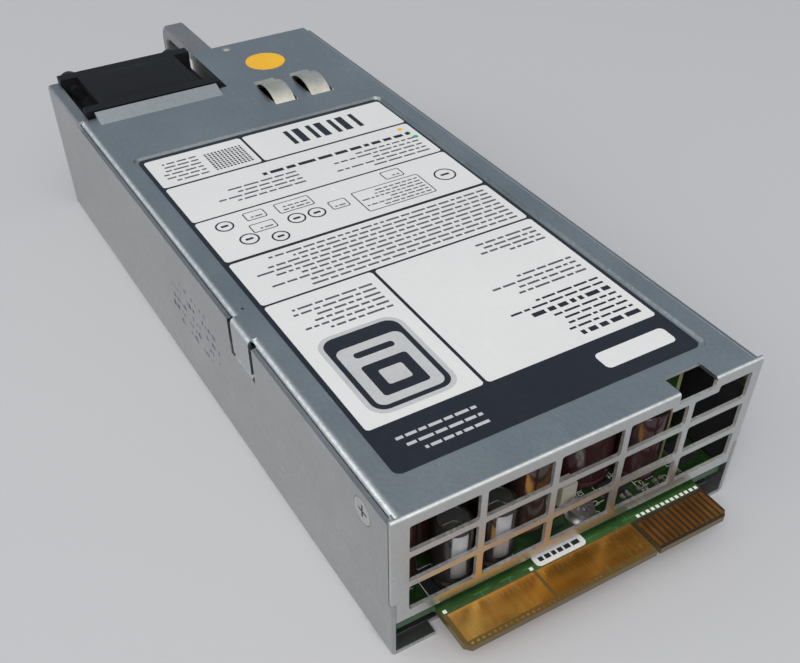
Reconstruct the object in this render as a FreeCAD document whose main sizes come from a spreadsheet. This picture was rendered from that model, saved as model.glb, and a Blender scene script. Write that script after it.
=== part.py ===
import FreeCAD, Part
import math
import os
import re

import Sketcher

# Hot swap server power supply: a sheet-metal case with a fan, an inlet and a card edge.
# Millimetres, +Z up. The origin is the centre of the case's underside, +Y points to the
# card edge, and the fan stands on the +X side of the -Y end.

doc = FreeCAD.newDocument("PowerSupply")
sheet = doc.addObject("Spreadsheet::Sheet", "sizes")

SIZES = {
    # case
    "case_width": 86.0,
    "case_length": 198.5,
    "case_height": 38.5,
    "wall": 1.0,
    "cover_sheet": 0.8,
    "cover_bend": 1.5,
    "floor_bend": 1.2,
    "seam": 0.1,
    "wall_drop": 1.2,
    "flange_depth": 6.0,
    "panel_step_z": 15.5,
    "panel_bottom": 9.8,
    "slit_height": 0.8,
    "slit_long": 4.6,
    "slit_short": 1.1,
    "slit_inset": 4.2,
    "lip_cut": 3.0,
    # snap tab of the cover
    "tab_width": 9.0,
    "tab_slot": 1.6,
    "tab_drop": 9.0,
    "tab_inset": 61.95,
    # ventilated connector panel
    "window_columns": 5,
    "window_rows": 3,
    "window_left": 2.35,
    "window_right": 3.85,
    "window_sill": 2.5,
    "window_bar": 1.45,
    "window_corner": 0.45,
    "window_top": 2.8,
    "notch_shift": -0.775,
    # key notch in the cover
    "notch_width": 9.3,
    "notch_depth": 5.3,
    "notch_drop": 2.8,
    "relief_width": 1.5,
    "relief_length": 1.6,
    # label and its recess
    "label_inset": 9.6,
    "label_back": 57.1,
    "label_left": 7.6,
    "label_right": 6.8,
    "label_thickness": 0.1,
    "recess_margin": 1.1,
    "recess_depth": 0.5,
    "recess_corner": 2.0,
    "dot_shift": -0.7,
    "dot_inset": 17.55,
    "dot_r": 6.0,
    # grounding springs
    "spring_width": 6.2,
    "spring_side": 16.4,
    "spring_inset": 31.85,
    "spring_pitch": 11.4,
    "spring_length": 14.0,
    "spring_rise": 1.9,
    "spring_sheet": 0.25,
    "spring_foot": 1.9,
    "slot_clearance": 0.35,
    # fan
    "fan_depth": 28.0,
    "fan_proud": 1.5,
    "fan_side": 3.5,
    "fan_bore_wall": 1.2,
    "fan_hole_inset": 4.0,
    "fan_reach": 1.5,
    "fan_gap": 1.4,
    "fan_fit": 0.2,
    "fan_flange": 3.6,
    "fan_corner_cut": 5.0,
    "fan_hole_r": 2.1,
    "fan_screw_head_r": 3.2,
    "hub_r": 10.5,
    "hub_length": 19.0,
    "hub_wall": 1.2,
    "blade_count": 7,
    "blade_tip_gap": 0.7,
    "blade_sheet": 1.0,
    "blade_twist": 34.0,
    "shaft_r": 1.5,
    "shaft_clearance": 0.05,
    "bearing_r": 4.0,
    "motor_base": 2.6,
    "stator_r": 7.8,
    "stator_length": 9.0,
    "strut_width": 2.4,
    "guard_wire_r": 0.75,
    "guard_rings": 3,
    "guard_margin": 2.9,
    "lip_length": 36.2,
    "lip_run": 4.7,
    "lip_rise": 1.7,
    # handle
    "handle_width": 6.6,
    "handle_gap": 1.1,
    "handle_drop": 0.3,
    "handle_reach": 30.0,
    "handle_low": 5.0,
    "handle_strap": 4.0,
    "handle_foot": 3.4,
    "handle_corner": 5.0,
    "handle_edge": 1.0,
    "handle_screw_inset": 5.0,
    # power inlet
    "inlet_flange": 2.0,
    "inlet_side": 6.6,
    "inlet_gap": 1.0,
    "inlet_low": 7.5,
    "inlet_drop": 7.0,
    "inlet_rim": 2.0,
    "inlet_wall": 0.9,
    "inlet_depth": 19.0,
    "recess_length": 16.0,
    "recess_cut": 4.2,
    "pin_inset": 5.0,
    "blade_pin_z": 2.0,
    "pin_thickness": 2.0,
    "pin_height": 4.0,
    # release latch
    "lever_sheet": 1.4,
    "lever_height": 11.0,
    "lever_rise": 0.5,
    "lever_gap": 0.5,
    "lever_reach": 13.0,
    "pad_length": 11.0,
    "pad_thickness": 3.0,
    "pad_rise": 1.6,
    "pivot_inset": 30.05,
    "pivot_side": 3.6,
    "knuckle_r": 2.1,
    "pivot_pin_r": 1.0,
    "coil_height": 3.2,
    "hook_inset": 7.25,
    "hook_length": 3.4,
    "hook_height": 6.0,
    "hook_reach": 2.0,
    "hook_window": 1.0,
    "ear_sheet": 1.0,
    # status light
    "light_r": 1.5,
    "light_inset": 2.9,
    "light_drop": 4.1,
    # main board and card edge
    "board_z": 6.4,
    "board_thickness": 1.6,
    "board_gap": 0.7,
    "board_inlet_inset": 27.25,
    "board_fan_gap": 8.75,
    "tongue_width": 65.7,
    "tongue_reach": 10.5,
    "tongue_corner": 1.3,
    "tongue_root": 0.5,
    "board_inset": 1.0,
    "key_slot_width": 1.0,
    "key_inset": 19.1,
    "key_slot_depth": 8.6,
    "pad_metal": 0.07,
    "pad_back": 2.1,
    "pad_margin": 1.4,
    "pad_split": 0.7,
    "pad_side": 21.55,
    "slip_gap": 2.3,
    "slip_inset": 1.65,
    "finger_count": 13,
    "finger_width": 0.8,
    "finger_pitch": 1.4,
    "finger_margin": 0.7,
    # board mounting
    "standoff_r": 3.0,
    "board_screw_r": 1.5,
    "washer_r": 3.4,
    "washer_sheet": 0.6,
    "screw_head_r": 2.7,
    "screw_head": 2.0,
    "screw_inset": 4.6,
    "front_screw_side": 7.7,
    "small_chip_side": 26.35,
    "front_screw_inset": 5.1,
    "film": 0.3,
    # case screws
    "side_screw_inset": 9.9,
    "side_screw_drop": 6.1,
    "side_screw_r": 1.4,
    "side_screw_head_r": 2.9,
    "rivet_r": 1.5,
    "rivet_rise": 0.4,
    # parts on the board
    "seat": 0.3,
    "bulk_clear": 2.2,
    "bulk_side": 17.5,
    "bulk_gap": 1.5,
    "bulk_length": 46.0,
    "can_r": 4.0,
    "can_height": 17.0,
    "can_side": 16.8,
    "can_pitch": 9.9,
    "can_inset": 5.5,
    "brown_r": 5.0,
    "brown_clear": 0.5,
    "maroon_r": 8.0,
    "maroon_clear": 5.0,
    "maroon_side": 17.0,
    "maroon_inset": 17.55,
    "control_sheet": 1.0,
    "control_side": 12.5,
    "control_clear": 4.0,
    "control_length": 50.0,
    "control_inset": 8.7,
    "core_width": 34.0,
    "core_depth": 16.0,
    "core_clear": 5.2,
    "core_side": 23.0,
    "coil_gap": 3.55,
    "core_leg": 6.0,
    "coil_overhang": 6.0,
    "winding_gap": 0.4,
    "ring_r": 10.0,
    "ring_tube": 4.0,
    "ring_side": 29.8,
    "ring_inset": 46.75,
    "boost_r": 10.5,
    "boost_tube": 5.0,
    "boost_shift": 1.0,
    "boost_gap": 10.25,
    "sink_sheet": 3.0,
    "sink_side": 20.5,
    "sink_clear": 4.5,
    "sink_length": 46.0,
    "package_width": 10.0,
    "package_height": 15.0,
    "package_thickness": 4.5,
    "package_pitch": 11.4,
    "lead": 0.8,
    "relay_length": 20.0,
    "relay_share": 0.258,
    "bridge_share": 0.345,
    "disc_thickness": 3.6,
    "disc_r": 4.0,
    "film_cap_length": 26.0,
    "film_cap_width": 9.8,
    "film_cap_height": 19.0,
    "fuse_length": 20.0,
    "fuse_r": 2.4,
    "bar_sheet": 1.5,
    "bar_height": 14.0,
    "bar_inset": 45.25,
    "bar_gap": 4.0,
}

# Sizes and places that follow from the ones above, in the order in which they build on each other.
FITS = {
    "fan_size": "case_height + fan_proud",
    "fan_bore_r": "fan_size/2 - fan_bore_wall",
    "fan_hole_pitch": "fan_size - 2*fan_hole_inset",
    "guard_pitch": "(fan_bore_r - guard_margin)/guard_rings",
    "fan_x": "case_width/2 - fan_side - fan_size/2",
    "fan_cutout": "fan_x - fan_size/2 - fan_gap",
    "fan_end": "fan_depth - fan_reach - case_length/2",
    "handle_x": "fan_cutout - handle_gap - handle_width/2",
    "handle_high": "case_height - handle_drop",
    "inlet_width": "handle_x - handle_width/2 - inlet_gap - inlet_side + case_width/2",
    "inlet_x": "inlet_side - case_width/2 + inlet_width/2",
    "inlet_flange_height": "case_height - inlet_drop - inlet_low",
    "inlet_height": "inlet_flange_height - 2*inlet_rim",
    "inlet_z": "inlet_low + inlet_flange_height/2",
    "recess_width": "inlet_width - 2*inlet_wall",
    "recess_height": "inlet_height - 4*inlet_wall",
    "blade_pin_x": "recess_width/2 - pin_inset",
    "light_x": "inlet_x + inlet_width/2 - light_inset",
    "light_z": "case_height - light_drop",
    "lever_z": "inlet_z + lever_rise",
    "pivot_x": "pivot_side - case_width/2",
    "pivot_y": "pivot_inset - case_length/2",
    "hook_y": "hook_inset - case_length/2",
    "spring_x": "fan_cutout - spring_side",
    "spring_y": "spring_inset - case_length/2",
    "dot_x": "spring_x + dot_shift",
    "dot_y": "dot_inset - case_length/2",
    "label_width": "case_width - label_left - label_right",
    "label_x": "(label_left - label_right)/2",
    "label_length": "case_length - label_inset - label_back",
    "tab_y": "case_length/2 - tab_inset",
    "window_width": "(case_width - window_left - window_right - (window_columns - 1)*window_bar)/window_columns",
    "window_height": "(case_height - window_top - panel_bottom - window_sill - (window_rows - 1)*window_bar)/window_rows",
    "window_shift": "(window_left - window_right)/2",
    "notch_x": "window_left - case_width/2 + window_width + window_bar/2 + notch_shift",
    "side_screw_z": "case_height - side_screw_drop",
    "board_back": "board_inlet_inset - case_length/2",
    "board_fan_back": "fan_end + board_fan_gap",
    "board_top": "board_z + board_thickness",
    "key_slot_x": "key_inset - tongue_width/2",
    "pad_split_x": "tongue_width/2 - pad_side",
    "boost_x": "fan_x + boost_shift",
    "boost_y": "fan_end + boost_gap + boost_r + boost_tube",
    "bulk_r": "(case_height - bulk_clear - board_top - seat)/2",
    "bulk_x": "case_width/2 - bulk_side",
    "bulk_y": "boost_y + boost_r + boost_tube + bulk_gap",
    "bar_length": "case_length/2 - bar_inset - bulk_y - bulk_length - bar_gap",
    "can_x": "case_width/2 - can_side",
    "control_x": "control_side - case_width/2",
    "control_top": "case_height - control_clear",
    "brown_height": "side_screw_z - side_screw_r - brown_clear - board_top",
    "maroon_x": "control_x + maroon_side",
    "maroon_y": "case_length/2 - maroon_inset",
    "maroon_height": "case_height - maroon_clear - board_top",
    "front_screw_x": "maroon_x + front_screw_side",
    "core_x": "core_side - case_width/2",
    "core_y": "case_length/2 - control_inset - control_length - coil_gap - coil_overhang - core_depth/2",
    "core_height": "case_height - core_clear - board_top - seat",
    "ring_x": "ring_side - case_width/2",
    "ring_y": "ring_inset - case_length/2",
    "sink_x": "bulk_x - sink_side",
    "sink_height": "case_height - sink_clear - board_top",
    "disc_end": "ring_y + 1.5*ring_r + disc_thickness",
    "filter_room": "core_y - core_depth/2 - coil_overhang - disc_end",
    "relay_y": "disc_end + relay_share*(filter_room - relay_length)",
    "bridge_y": "disc_end + bridge_share*(filter_room - 2*package_width)",
}

for number, (name, size) in enumerate([*SIZES.items(), *FITS.items()], 1):
    sheet.set("A%d" % number, name)
    sheet.set("B%d" % number, "=" + size if name in FITS else str(size))
    sheet.setAlias("B%d" % number, name)
doc.recompute()

WORD = re.compile(r"[a-z][a-z0-9_]*")
NAMES = {*SIZES, *FITS}
BACK_PLANE = {"XY_Plane": 1, "YZ_Plane": 1, "XZ_Plane": -1}

# Planes that many pieces share.
SIDE = "case_width/2"
INSIDE = "(case_width/2 - wall)"
FRONT = "case_length/2"
BACK = "(-case_length/2)"
TOP = "case_height"
UNDER_COVER = "(case_height - cover_sheet)"
BOARD_TOP = "board_top"
FAN_LEFT = "(fan_x - fan_size/2)"
FAN_RIGHT = "(fan_x + fan_size/2)"
FAN_FACE = "(-case_length/2 - fan_reach)"
FAN_INNER = "(-case_length/2 - fan_reach + fan_depth)"
FAN_Z = "(fan_size/2)"

parts = []


def tied(text):
    """The expression with each size's name pointed at the spreadsheet."""
    return WORD.sub(lambda word: "sizes." + word.group(0) if word.group(0) in NAMES else word.group(0), text)


def bind(piece, prop, text):
    piece.setExpression(prop, tied(str(text)))


def size(name):
    return float(sheet.get(name))


def finish(piece, label):
    """Name the piece as a node and list it for export."""
    piece.Label = label
    parts.append(piece)
    return piece


# ---------------------------------------------------------------- primitives

def box(name, x, y, z):
    """A block; x, y and z are pairs of expressions, low and high."""
    piece = doc.addObject("Part::Box", name)
    for prop, axis, (low, high) in zip(("Length", "Width", "Height"), "xyz", (x, y, z)):
        bind(piece, prop, "(%s) - (%s)" % (high, low))
        bind(piece, "Placement.Base." + axis, low)
    return piece


TURNS = {
    "x": FreeCAD.Rotation(FreeCAD.Vector(0, 1, 0), 90),
    "y": FreeCAD.Rotation(FreeCAD.Vector(1, 0, 0), -90),
    "z": FreeCAD.Rotation(),
}


def place(piece, x, y, z, axis="z"):
    piece.Placement = FreeCAD.Placement(FreeCAD.Vector(), TURNS[axis])
    for letter, text in zip("xyz", (x, y, z)):
        bind(piece, "Placement.Base." + letter, text)
    return piece


def rod(name, axis, x, y, z, radius, length):
    """A cylinder that starts at x, y, z and runs along the positive axis."""
    piece = doc.addObject("Part::Cylinder", name)
    bind(piece, "Radius", radius)
    bind(piece, "Height", length)
    return place(piece, x, y, z, axis)


def cone(name, axis, x, y, z, radius_low, radius_high, length):
    piece = doc.addObject("Part::Cone", name)
    bind(piece, "Radius1", radius_low)
    bind(piece, "Radius2", radius_high)
    bind(piece, "Height", length)
    return place(piece, x, y, z, axis)


def ring(name, axis, x, y, z, radius, tube):
    piece = doc.addObject("Part::Torus", name)
    bind(piece, "Radius1", radius)
    bind(piece, "Radius2", tube)
    return place(piece, x, y, z, axis)


def joined(name, pieces, refine=True):
    piece = doc.addObject("Part::MultiFuse", name)
    piece.Shapes = pieces
    piece.Refine = refine
    return piece


def group(name, pieces):
    """Separate solids that share one node."""
    piece = doc.addObject("Part::Compound", name)
    piece.Links = pieces
    return piece


def cut(name, base, tools):
    piece = doc.addObject("Part::Cut", name)
    piece.Base = base
    piece.Tool = tools[0] if len(tools) == 1 else joined(name + "_tools", tools)
    return piece


def tube(name, axis, x, y, z, radius, bore, length):
    return cut(name, rod(name + "_outer", axis, x, y, z, radius, length),
               [rod(name + "_bore", axis, x, y, z, bore, length)])


# ------------------------------------------------------- sketches and features

def new_body(name):
    return doc.addObject("PartDesign::Body", name)


def origin_plane(body, role):
    return [item for item in body.Origin.OriginFeatures if item.Role == role][0]


def sketch_on(body, role, offset):
    """A sketch on one of the body's own origin planes, moved along the world axis by offset."""
    sketch = body.newObject("Sketcher::SketchObject", "sketch")
    sketch.AttachmentSupport = [(origin_plane(body, role), "")]
    sketch.MapMode = "FlatFace"
    bind(sketch, "AttachmentOffset.Base.z", "%d*(%s)" % (BACK_PLANE[role], offset))
    return sketch


def draw(sketch, outlines, circles=()):
    """Closed outlines and circles; every coordinate and radius is an expression."""
    shapes = []
    rules = []
    texts = []
    for corners in outlines:
        count = len(corners)
        first = len(shapes)
        start = [FreeCAD.Vector(20 * math.cos(2 * math.pi * turn / count),
                                20 * math.sin(2 * math.pi * turn / count), 0) for turn in range(count)]
        for index in range(count):
            following = (index + 1) % count
            shapes.append(Part.LineSegment(start[index], start[following]))
            rules.append(Sketcher.Constraint("Coincident", first + index, 2, first + following, 1))
        for index, (across, up) in enumerate(corners):
            texts.append((len(rules), across))
            rules.append(Sketcher.Constraint("DistanceX", -1, 1, first + index, 1, start[index].x))
            texts.append((len(rules), up))
            rules.append(Sketcher.Constraint("DistanceY", -1, 1, first + index, 1, start[index].y))
    for across, up, radius in circles:
        index = len(shapes)
        shapes.append(Part.Circle(FreeCAD.Vector(1, 1, 0), FreeCAD.Vector(0, 0, 1), 1))
        for kind, text in (("DistanceX", across), ("DistanceY", up)):
            texts.append((len(rules), text))
            rules.append(Sketcher.Constraint(kind, -1, 1, index, 3, 1.0))
        texts.append((len(rules), radius))
        rules.append(Sketcher.Constraint("Radius", index, 1.0))
    sketch.addGeometry(shapes, False)
    sketch.addConstraint(rules)
    for number, text in texts:
        bind(sketch, "Constraints[%d]" % number, text)


def rectangle(low_across, high_across, low_up, high_up):
    return [(low_across, low_up), (high_across, low_up), (high_across, high_up), (low_across, high_up)]


def pad(body, role, outlines, low, high, circles=()):
    """Add the outlines as solid from low to high along the plane's world axis."""
    sketch = sketch_on(body, role, high if role == "XZ_Plane" else low)
    draw(sketch, outlines, circles)
    feature = body.newObject("PartDesign::Pad", "pad")
    feature.Profile = sketch
    bind(feature, "Length", "(%s) - (%s)" % (high, low))
    return feature


def pocket(body, role, outlines, low, high, circles=()):
    """Cut the outlines and circles away from low to high along the plane's world axis."""
    sketch = sketch_on(body, role, low if role == "XZ_Plane" else high)
    draw(sketch, outlines, circles)
    feature = body.newObject("PartDesign::Pocket", "pocket")
    feature.Profile = sketch
    feature.Refine = False
    bind(feature, "Length", "(%s) - (%s)" % (high, low))
    return feature


def round_edges(body, base, chosen, radius):
    """Fillet the edges of the feature base for which chosen(box of the edge) is true."""
    doc.recompute()
    names = []
    for number, edge in enumerate(base.Shape.Edges, 1):
        if chosen(edge.BoundBox):
            names.append("Edge%d" % number)
    if not names:
        raise RuntimeError("no edges to round on " + body.Name)
    feature = body.newObject("PartDesign::Fillet", "fillet")
    feature.Base = (base, names)
    bind(feature, "Radius", radius)
    doc.recompute()
    return feature


def near(value, target):
    return abs(value - target) < 0.01


# ------------------------------------------------------------------ the case

TAB_LOW = "(tab_y - tab_width/2)"
TAB_HIGH = "(tab_y + tab_width/2)"
TAB_BOTTOM = "(case_height - tab_drop)"
WALL_TOP = "(case_height - wall_drop)"
PANEL_BACK = "(case_length/2 - cover_sheet - seam)"
STRIP_END = "(%s + fan_gap)" % FAN_INNER
SIDE_SCREW_Y = "(case_length/2 - side_screw_inset)"


def build_tray():
    """Floor and two side walls, folded from one sheet."""
    body = new_body("tray")
    wall_line = [("-case_width/2", WALL_TOP), ("-case_width/2", "0"), (SIDE, "0"), (SIDE, WALL_TOP),
                 (INSIDE, WALL_TOP), (INSIDE, "wall"), ("-" + INSIDE, "wall"), ("-" + INSIDE, WALL_TOP)]
    shell = pad(body, "XZ_Plane", [wall_line], BACK, FRONT)
    half = size("case_width") / 2

    def lower_bend(edge):
        return near(edge.ZMin, 0) and near(edge.ZMax, 0) and near(abs(edge.XMin), half) and near(edge.XMin, edge.XMax)

    round_edges(body, shell, lower_bend, "floor_bend")
    # The strap behind the snap tab is pressed inwards by one sheet.
    strap = [(SIDE, TAB_BOTTOM + " - 2.2*wall"), (SIDE, TAB_BOTTOM + " - 1.2*wall"),
             (INSIDE + " - seam", TAB_BOTTOM), (INSIDE + " - seam", WALL_TOP + " - wall"),
             (INSIDE + " - seam - wall", WALL_TOP + " - wall"), (INSIDE + " - seam - wall", TAB_BOTTOM + " - wall"),
             (INSIDE, TAB_BOTTOM + " - 2.2*wall")]
    notch_low = "%s - tab_slot" % TAB_LOW
    notch_high = "%s + tab_slot" % TAB_HIGH
    pocket(body, "XZ_Plane", [rectangle(INSIDE, SIDE, TAB_BOTTOM + " - 1.2*wall", WALL_TOP)], notch_low, notch_high)
    pad(body, "XZ_Plane", [strap], TAB_LOW, TAB_HIGH)
    # The fan stands in a cut-out of the floor, and the plug on the card edge needs the lip cut away.
    pocket(body, "XY_Plane", [rectangle("%s - fan_gap" % FAN_LEFT, "%s + fan_fit" % FAN_RIGHT, BACK,
                                        "%s + fan_fit" % FAN_INNER)], "0", "wall")
    pocket(body, "XY_Plane", [rectangle("-tongue_width/2 - fan_fit", "tongue_width/2 + fan_fit",
                                        FRONT + " - lip_cut", FRONT)], "0", "wall")
    # Above the step the connector panel covers the ends of the walls.
    pocket(body, "XZ_Plane", [rectangle(INSIDE, SIDE, "panel_step_z", WALL_TOP),
                              rectangle("-case_width/2", "-" + INSIDE, "panel_step_z", WALL_TOP)],
           PANEL_BACK, FRONT)
    # Relief slits in the lower bend.
    slit_start = FRONT + " - slit_inset"
    slits = [rectangle(slit_start + " - slit_long", slit_start, "0", "slit_height"),
             rectangle(slit_start + " - 1.5*slit_long", slit_start + " - 1.5*slit_long + slit_short",
                       "0", "slit_height")]
    pocket(body, "YZ_Plane", slits, INSIDE + " - wall", SIDE)
    pocket(body, "YZ_Plane", slits, "-case_width/2", "-" + INSIDE + " + wall")
    # Window for the latch hook in the -X wall, and countersinks for the side screws.
    hook = rectangle("hook_y - hook_length/2 - hook_window", "hook_y + hook_length/2 + hook_window",
                     "lever_z - hook_height/2 - hook_window", "lever_z + hook_height/2 + hook_window")
    pocket(body, "YZ_Plane", [hook], "-case_width/2", "-" + INSIDE)
    hole = [(SIDE_SCREW_Y, "side_screw_z", "side_screw_head_r + seam")]
    pocket(body, "YZ_Plane", [], INSIDE, SIDE, hole)
    last = pocket(body, "YZ_Plane", [], "-case_width/2", "-" + INSIDE, hole)
    # Beside the fan the +X wall reaches the top and turns in over it.
    strip = [(SIDE, WALL_TOP), (SIDE, TOP), ("%s + fan_fit" % FAN_RIGHT, TOP),
             ("%s + fan_fit" % FAN_RIGHT, TOP + " - wall"), (INSIDE, TOP + " - wall"), (INSIDE, WALL_TOP)]
    last = pad(body, "XZ_Plane", [strip], BACK, STRIP_END)
    height = size("case_height")

    def upper_bend(edge):
        level = near(edge.ZMin, height) and near(edge.ZMax, height)
        return level and near(edge.XMin, half) and near(edge.XMax, half)

    round_edges(body, last, upper_bend, "wall")
    return finish(body, "case_tray")


FLANGE = "(case_width/2 - wall - seam)"
FLANGE_BOTTOM = "(case_height - flange_depth)"
GRID_WIDTH = "(window_columns*window_width + (window_columns - 1)*window_bar)"
NOTCH_LEFT = "(notch_x - notch_width/2)"
NOTCH_RIGHT = "(notch_x + notch_width/2)"
NOTCH_FLOOR = "(case_height - notch_drop)"
RECESS_LEFT = "(label_x - label_width/2 - recess_margin)"
RECESS_RIGHT = "(label_x + label_width/2 + recess_margin)"
RECESS_FRONT = "(case_length/2 - label_inset + recess_margin)"
RECESS_BACK = "(case_length/2 - label_inset - label_length - recess_margin)"


def window_outline(column, row):
    """One opening of the connector panel; those beside the key notch lose a corner to its rim."""
    left = "(window_shift - %s/2 + %d*(window_width + window_bar))" % (GRID_WIDTH, column)
    top = "(case_height - window_top - %d*(window_height + window_bar))" % row
    right = "(%s + window_width)" % left
    bottom = "(%s - window_height)" % top
    rim = "(%s - window_bar)" % NOTCH_FLOOR
    if row == 0 and column == 0:
        step = "(%s - window_bar)" % NOTCH_LEFT
        return [(left, bottom), (right, bottom), (right, rim), (step, rim), (step, top), (left, top)]
    if row == 0 and column == 1:
        step = "(%s + window_bar)" % NOTCH_RIGHT
        return [(left, bottom), (right, bottom), (right, top), (step, top), (step, rim), (left, rim)]
    return rectangle(left, right, bottom, top)


def eased_outline(corners, turns, radius):
    """The outline with each right angle cut back by two short chords; turns are the ways round it."""
    ways = {"right": (1, 0), "left": (-1, 0), "up": (0, 1), "down": (0, -1)}
    outline = []
    for index, (across, up) in enumerate(corners):
        back_across, back_up = [-step for step in ways[turns[index - 1]]]
        ahead_across, ahead_up = ways[turns[index]]
        for share_back, share_ahead in ((1, 0), (0.293, 0.293), (0, 1)):
            outline.append(("%s + %g*%s" % (across, share_back * back_across + share_ahead * ahead_across, radius),
                            "%s + %g*%s" % (up, share_back * back_up + share_ahead * ahead_up, radius)))
    return outline


def window_turns(column, row):
    """The direction of each side of a window's outline, in the order of its corners."""
    if row == 0 and column == 0:
        return ["right", "up", "left", "up", "left", "down"]
    if row == 0 and column == 1:
        return ["right", "up", "left", "down", "left", "down"]
    return ["right", "up", "left", "down"]


def build_cover():
    """Top sheet with side flanges, a snap tab and the ventilated panel folded down at +Y."""
    body = new_body("cover")
    profile = [("-" + FLANGE, FLANGE_BOTTOM), ("-" + FLANGE, TOP), (FLANGE, TOP), (FLANGE, FLANGE_BOTTOM),
               (FLANGE + " - cover_sheet", FLANGE_BOTTOM), (FLANGE + " - cover_sheet", UNDER_COVER),
               ("-" + FLANGE + " + cover_sheet", UNDER_COVER), ("-" + FLANGE + " + cover_sheet", FLANGE_BOTTOM)]
    shell = pad(body, "XZ_Plane", [profile], BACK, FRONT)
    height = size("case_height")
    reach = size("case_width") / 2 - size("wall") - size("seam")
    half = size("case_width") / 2
    front = size("case_length") / 2

    def long_bend(edge):
        return near(edge.ZMin, height) and near(edge.ZMax, height) and near(edge.XMin, edge.XMax)

    round_edges(body, shell, long_bend, "cover_bend")
    # Connector panel: as wide as the case above the step, and inside the walls below it.
    wide = SIDE + " - seam"
    narrow = INSIDE + " - seam"
    panel = [("-(%s)" % narrow, "panel_bottom"), (narrow, "panel_bottom"), (narrow, "panel_step_z + seam"),
             (wide, "panel_step_z + seam"), (wide, TOP), ("-(%s)" % wide, TOP),
             ("-(%s)" % wide, "panel_step_z + seam"), ("-(%s)" % narrow, "panel_step_z + seam")]
    front_panel = pad(body, "XZ_Plane", [panel], FRONT + " - cover_sheet", FRONT)

    def front_bend(edge):
        return near(edge.ZMin, height) and near(edge.ZMax, height) and near(edge.YMin, front) and edge.XLength > 20

    round_edges(body, front_panel, front_bend, "cover_bend/2")
    # Key notch through the bend, fan cut-out, slots for the grounding springs.
    pocket(body, "XY_Plane", [rectangle(NOTCH_LEFT, NOTCH_RIGHT, FRONT + " - notch_depth", FRONT)],
           NOTCH_FLOOR, TOP)
    fan_hole = [("%s - fan_gap" % FAN_LEFT, BACK), (SIDE, BACK), (SIDE, STRIP_END + " + seam"),
                ("%s - fan_gap" % FAN_LEFT, STRIP_END + " + seam")]
    pocket(body, "XY_Plane", [fan_hole], FLANGE_BOTTOM, TOP)
    slots = []
    for side in (-1, 1):
        middle = "(spring_x + %d*spring_pitch/2)" % side
        slots.append(rectangle(middle + " - spring_width/2 - slot_clearance",
                               middle + " + spring_width/2 + slot_clearance",
                               "spring_y + spring_foot/2", "spring_y + spring_length + slot_clearance"))
    pocket(body, "XY_Plane", slots, UNDER_COVER, TOP)
    # The lip in front of the fan is raised from the sheet, with a closed cheek at its +X end.
    lip_left = "(fan_x - lip_length/2)"
    lip_right = "(fan_x + lip_length/2)"
    lip_front = STRIP_END + " + seam + lip_run"
    pocket(body, "XY_Plane", [rectangle(lip_left, lip_right, STRIP_END + " + seam", lip_front)],
           UNDER_COVER, TOP)
    slope = [(lip_front, TOP), (STRIP_END + " + seam", TOP + " + lip_rise"),
             (STRIP_END + " + seam", TOP + " + lip_rise - cover_sheet"), (lip_front, UNDER_COVER)]
    pad(body, "YZ_Plane", [slope], lip_left, lip_right)
    cheek = [(lip_front, TOP), (STRIP_END + " + seam", TOP + " + lip_rise"), (STRIP_END + " + seam", UNDER_COVER),
             (lip_front, UNDER_COVER)]
    pad(body, "YZ_Plane", [cheek], lip_right + " - cover_sheet", lip_right)
    # Bend reliefs at the two front corners.
    relief = ("case_width/2 - relief_width", SIDE)
    relief_y = (FRONT + " - cover_sheet - relief_length", FRONT + " - cover_sheet")
    pocket(body, "XY_Plane", [rectangle(*relief, *relief_y),
                              rectangle("-case_width/2", "-case_width/2 + relief_width", *relief_y)],
           TOP + " - cover_bend", TOP)
    # Label recess, pressed down so that the sheet keeps its thickness.
    recess = rectangle(RECESS_LEFT, RECESS_RIGHT, RECESS_BACK, RECESS_FRONT)
    under = rectangle(RECESS_LEFT + " - cover_sheet/2", RECESS_RIGHT + " + cover_sheet/2",
                      RECESS_BACK + " - cover_sheet/2", RECESS_FRONT + " + cover_sheet/2")
    pad(body, "XY_Plane", [under], UNDER_COVER + " - recess_depth", UNDER_COVER)
    pressed = pocket(body, "XY_Plane", [recess], TOP + " - recess_depth", TOP)
    depth = size("recess_depth")

    def recess_corner(edge):
        upright = near(edge.XLength, 0) and near(edge.YLength, 0) and near(edge.ZLength, depth)
        return upright and near(edge.ZMax, height) and edge.YMax < front - 5

    round_edges(body, pressed, recess_corner, "recess_corner")
    # The +X flange stops at the snap tab, which comes outside flush with the wall.
    gap_low = "%s - tab_slot" % TAB_LOW
    gap_high = "%s + tab_slot" % TAB_HIGH
    inner_edge = FLANGE + " - cover_sheet"
    pocket(body, "XZ_Plane", [rectangle(inner_edge, FLANGE, FLANGE_BOTTOM, UNDER_COVER)], gap_low, gap_high)
    tab = [(FLANGE + " - 2*cover_bend", TOP), (SIDE, TOP), (SIDE, TAB_BOTTOM), (SIDE + " - cover_sheet", TAB_BOTTOM),
           (SIDE + " - cover_sheet", UNDER_COVER), (FLANGE + " - 2*cover_bend", UNDER_COVER)]
    snap_tab = pad(body, "XZ_Plane", [tab], TAB_LOW, TAB_HIGH)

    def tab_bend(edge):
        outside = near(edge.XMin, edge.XMax) and near(edge.XMin, half)
        return outside and near(edge.ZMin, height) and near(edge.ZMax, height) and edge.YLength > 5

    round_edges(body, snap_tab, tab_bend, "cover_bend")
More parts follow.
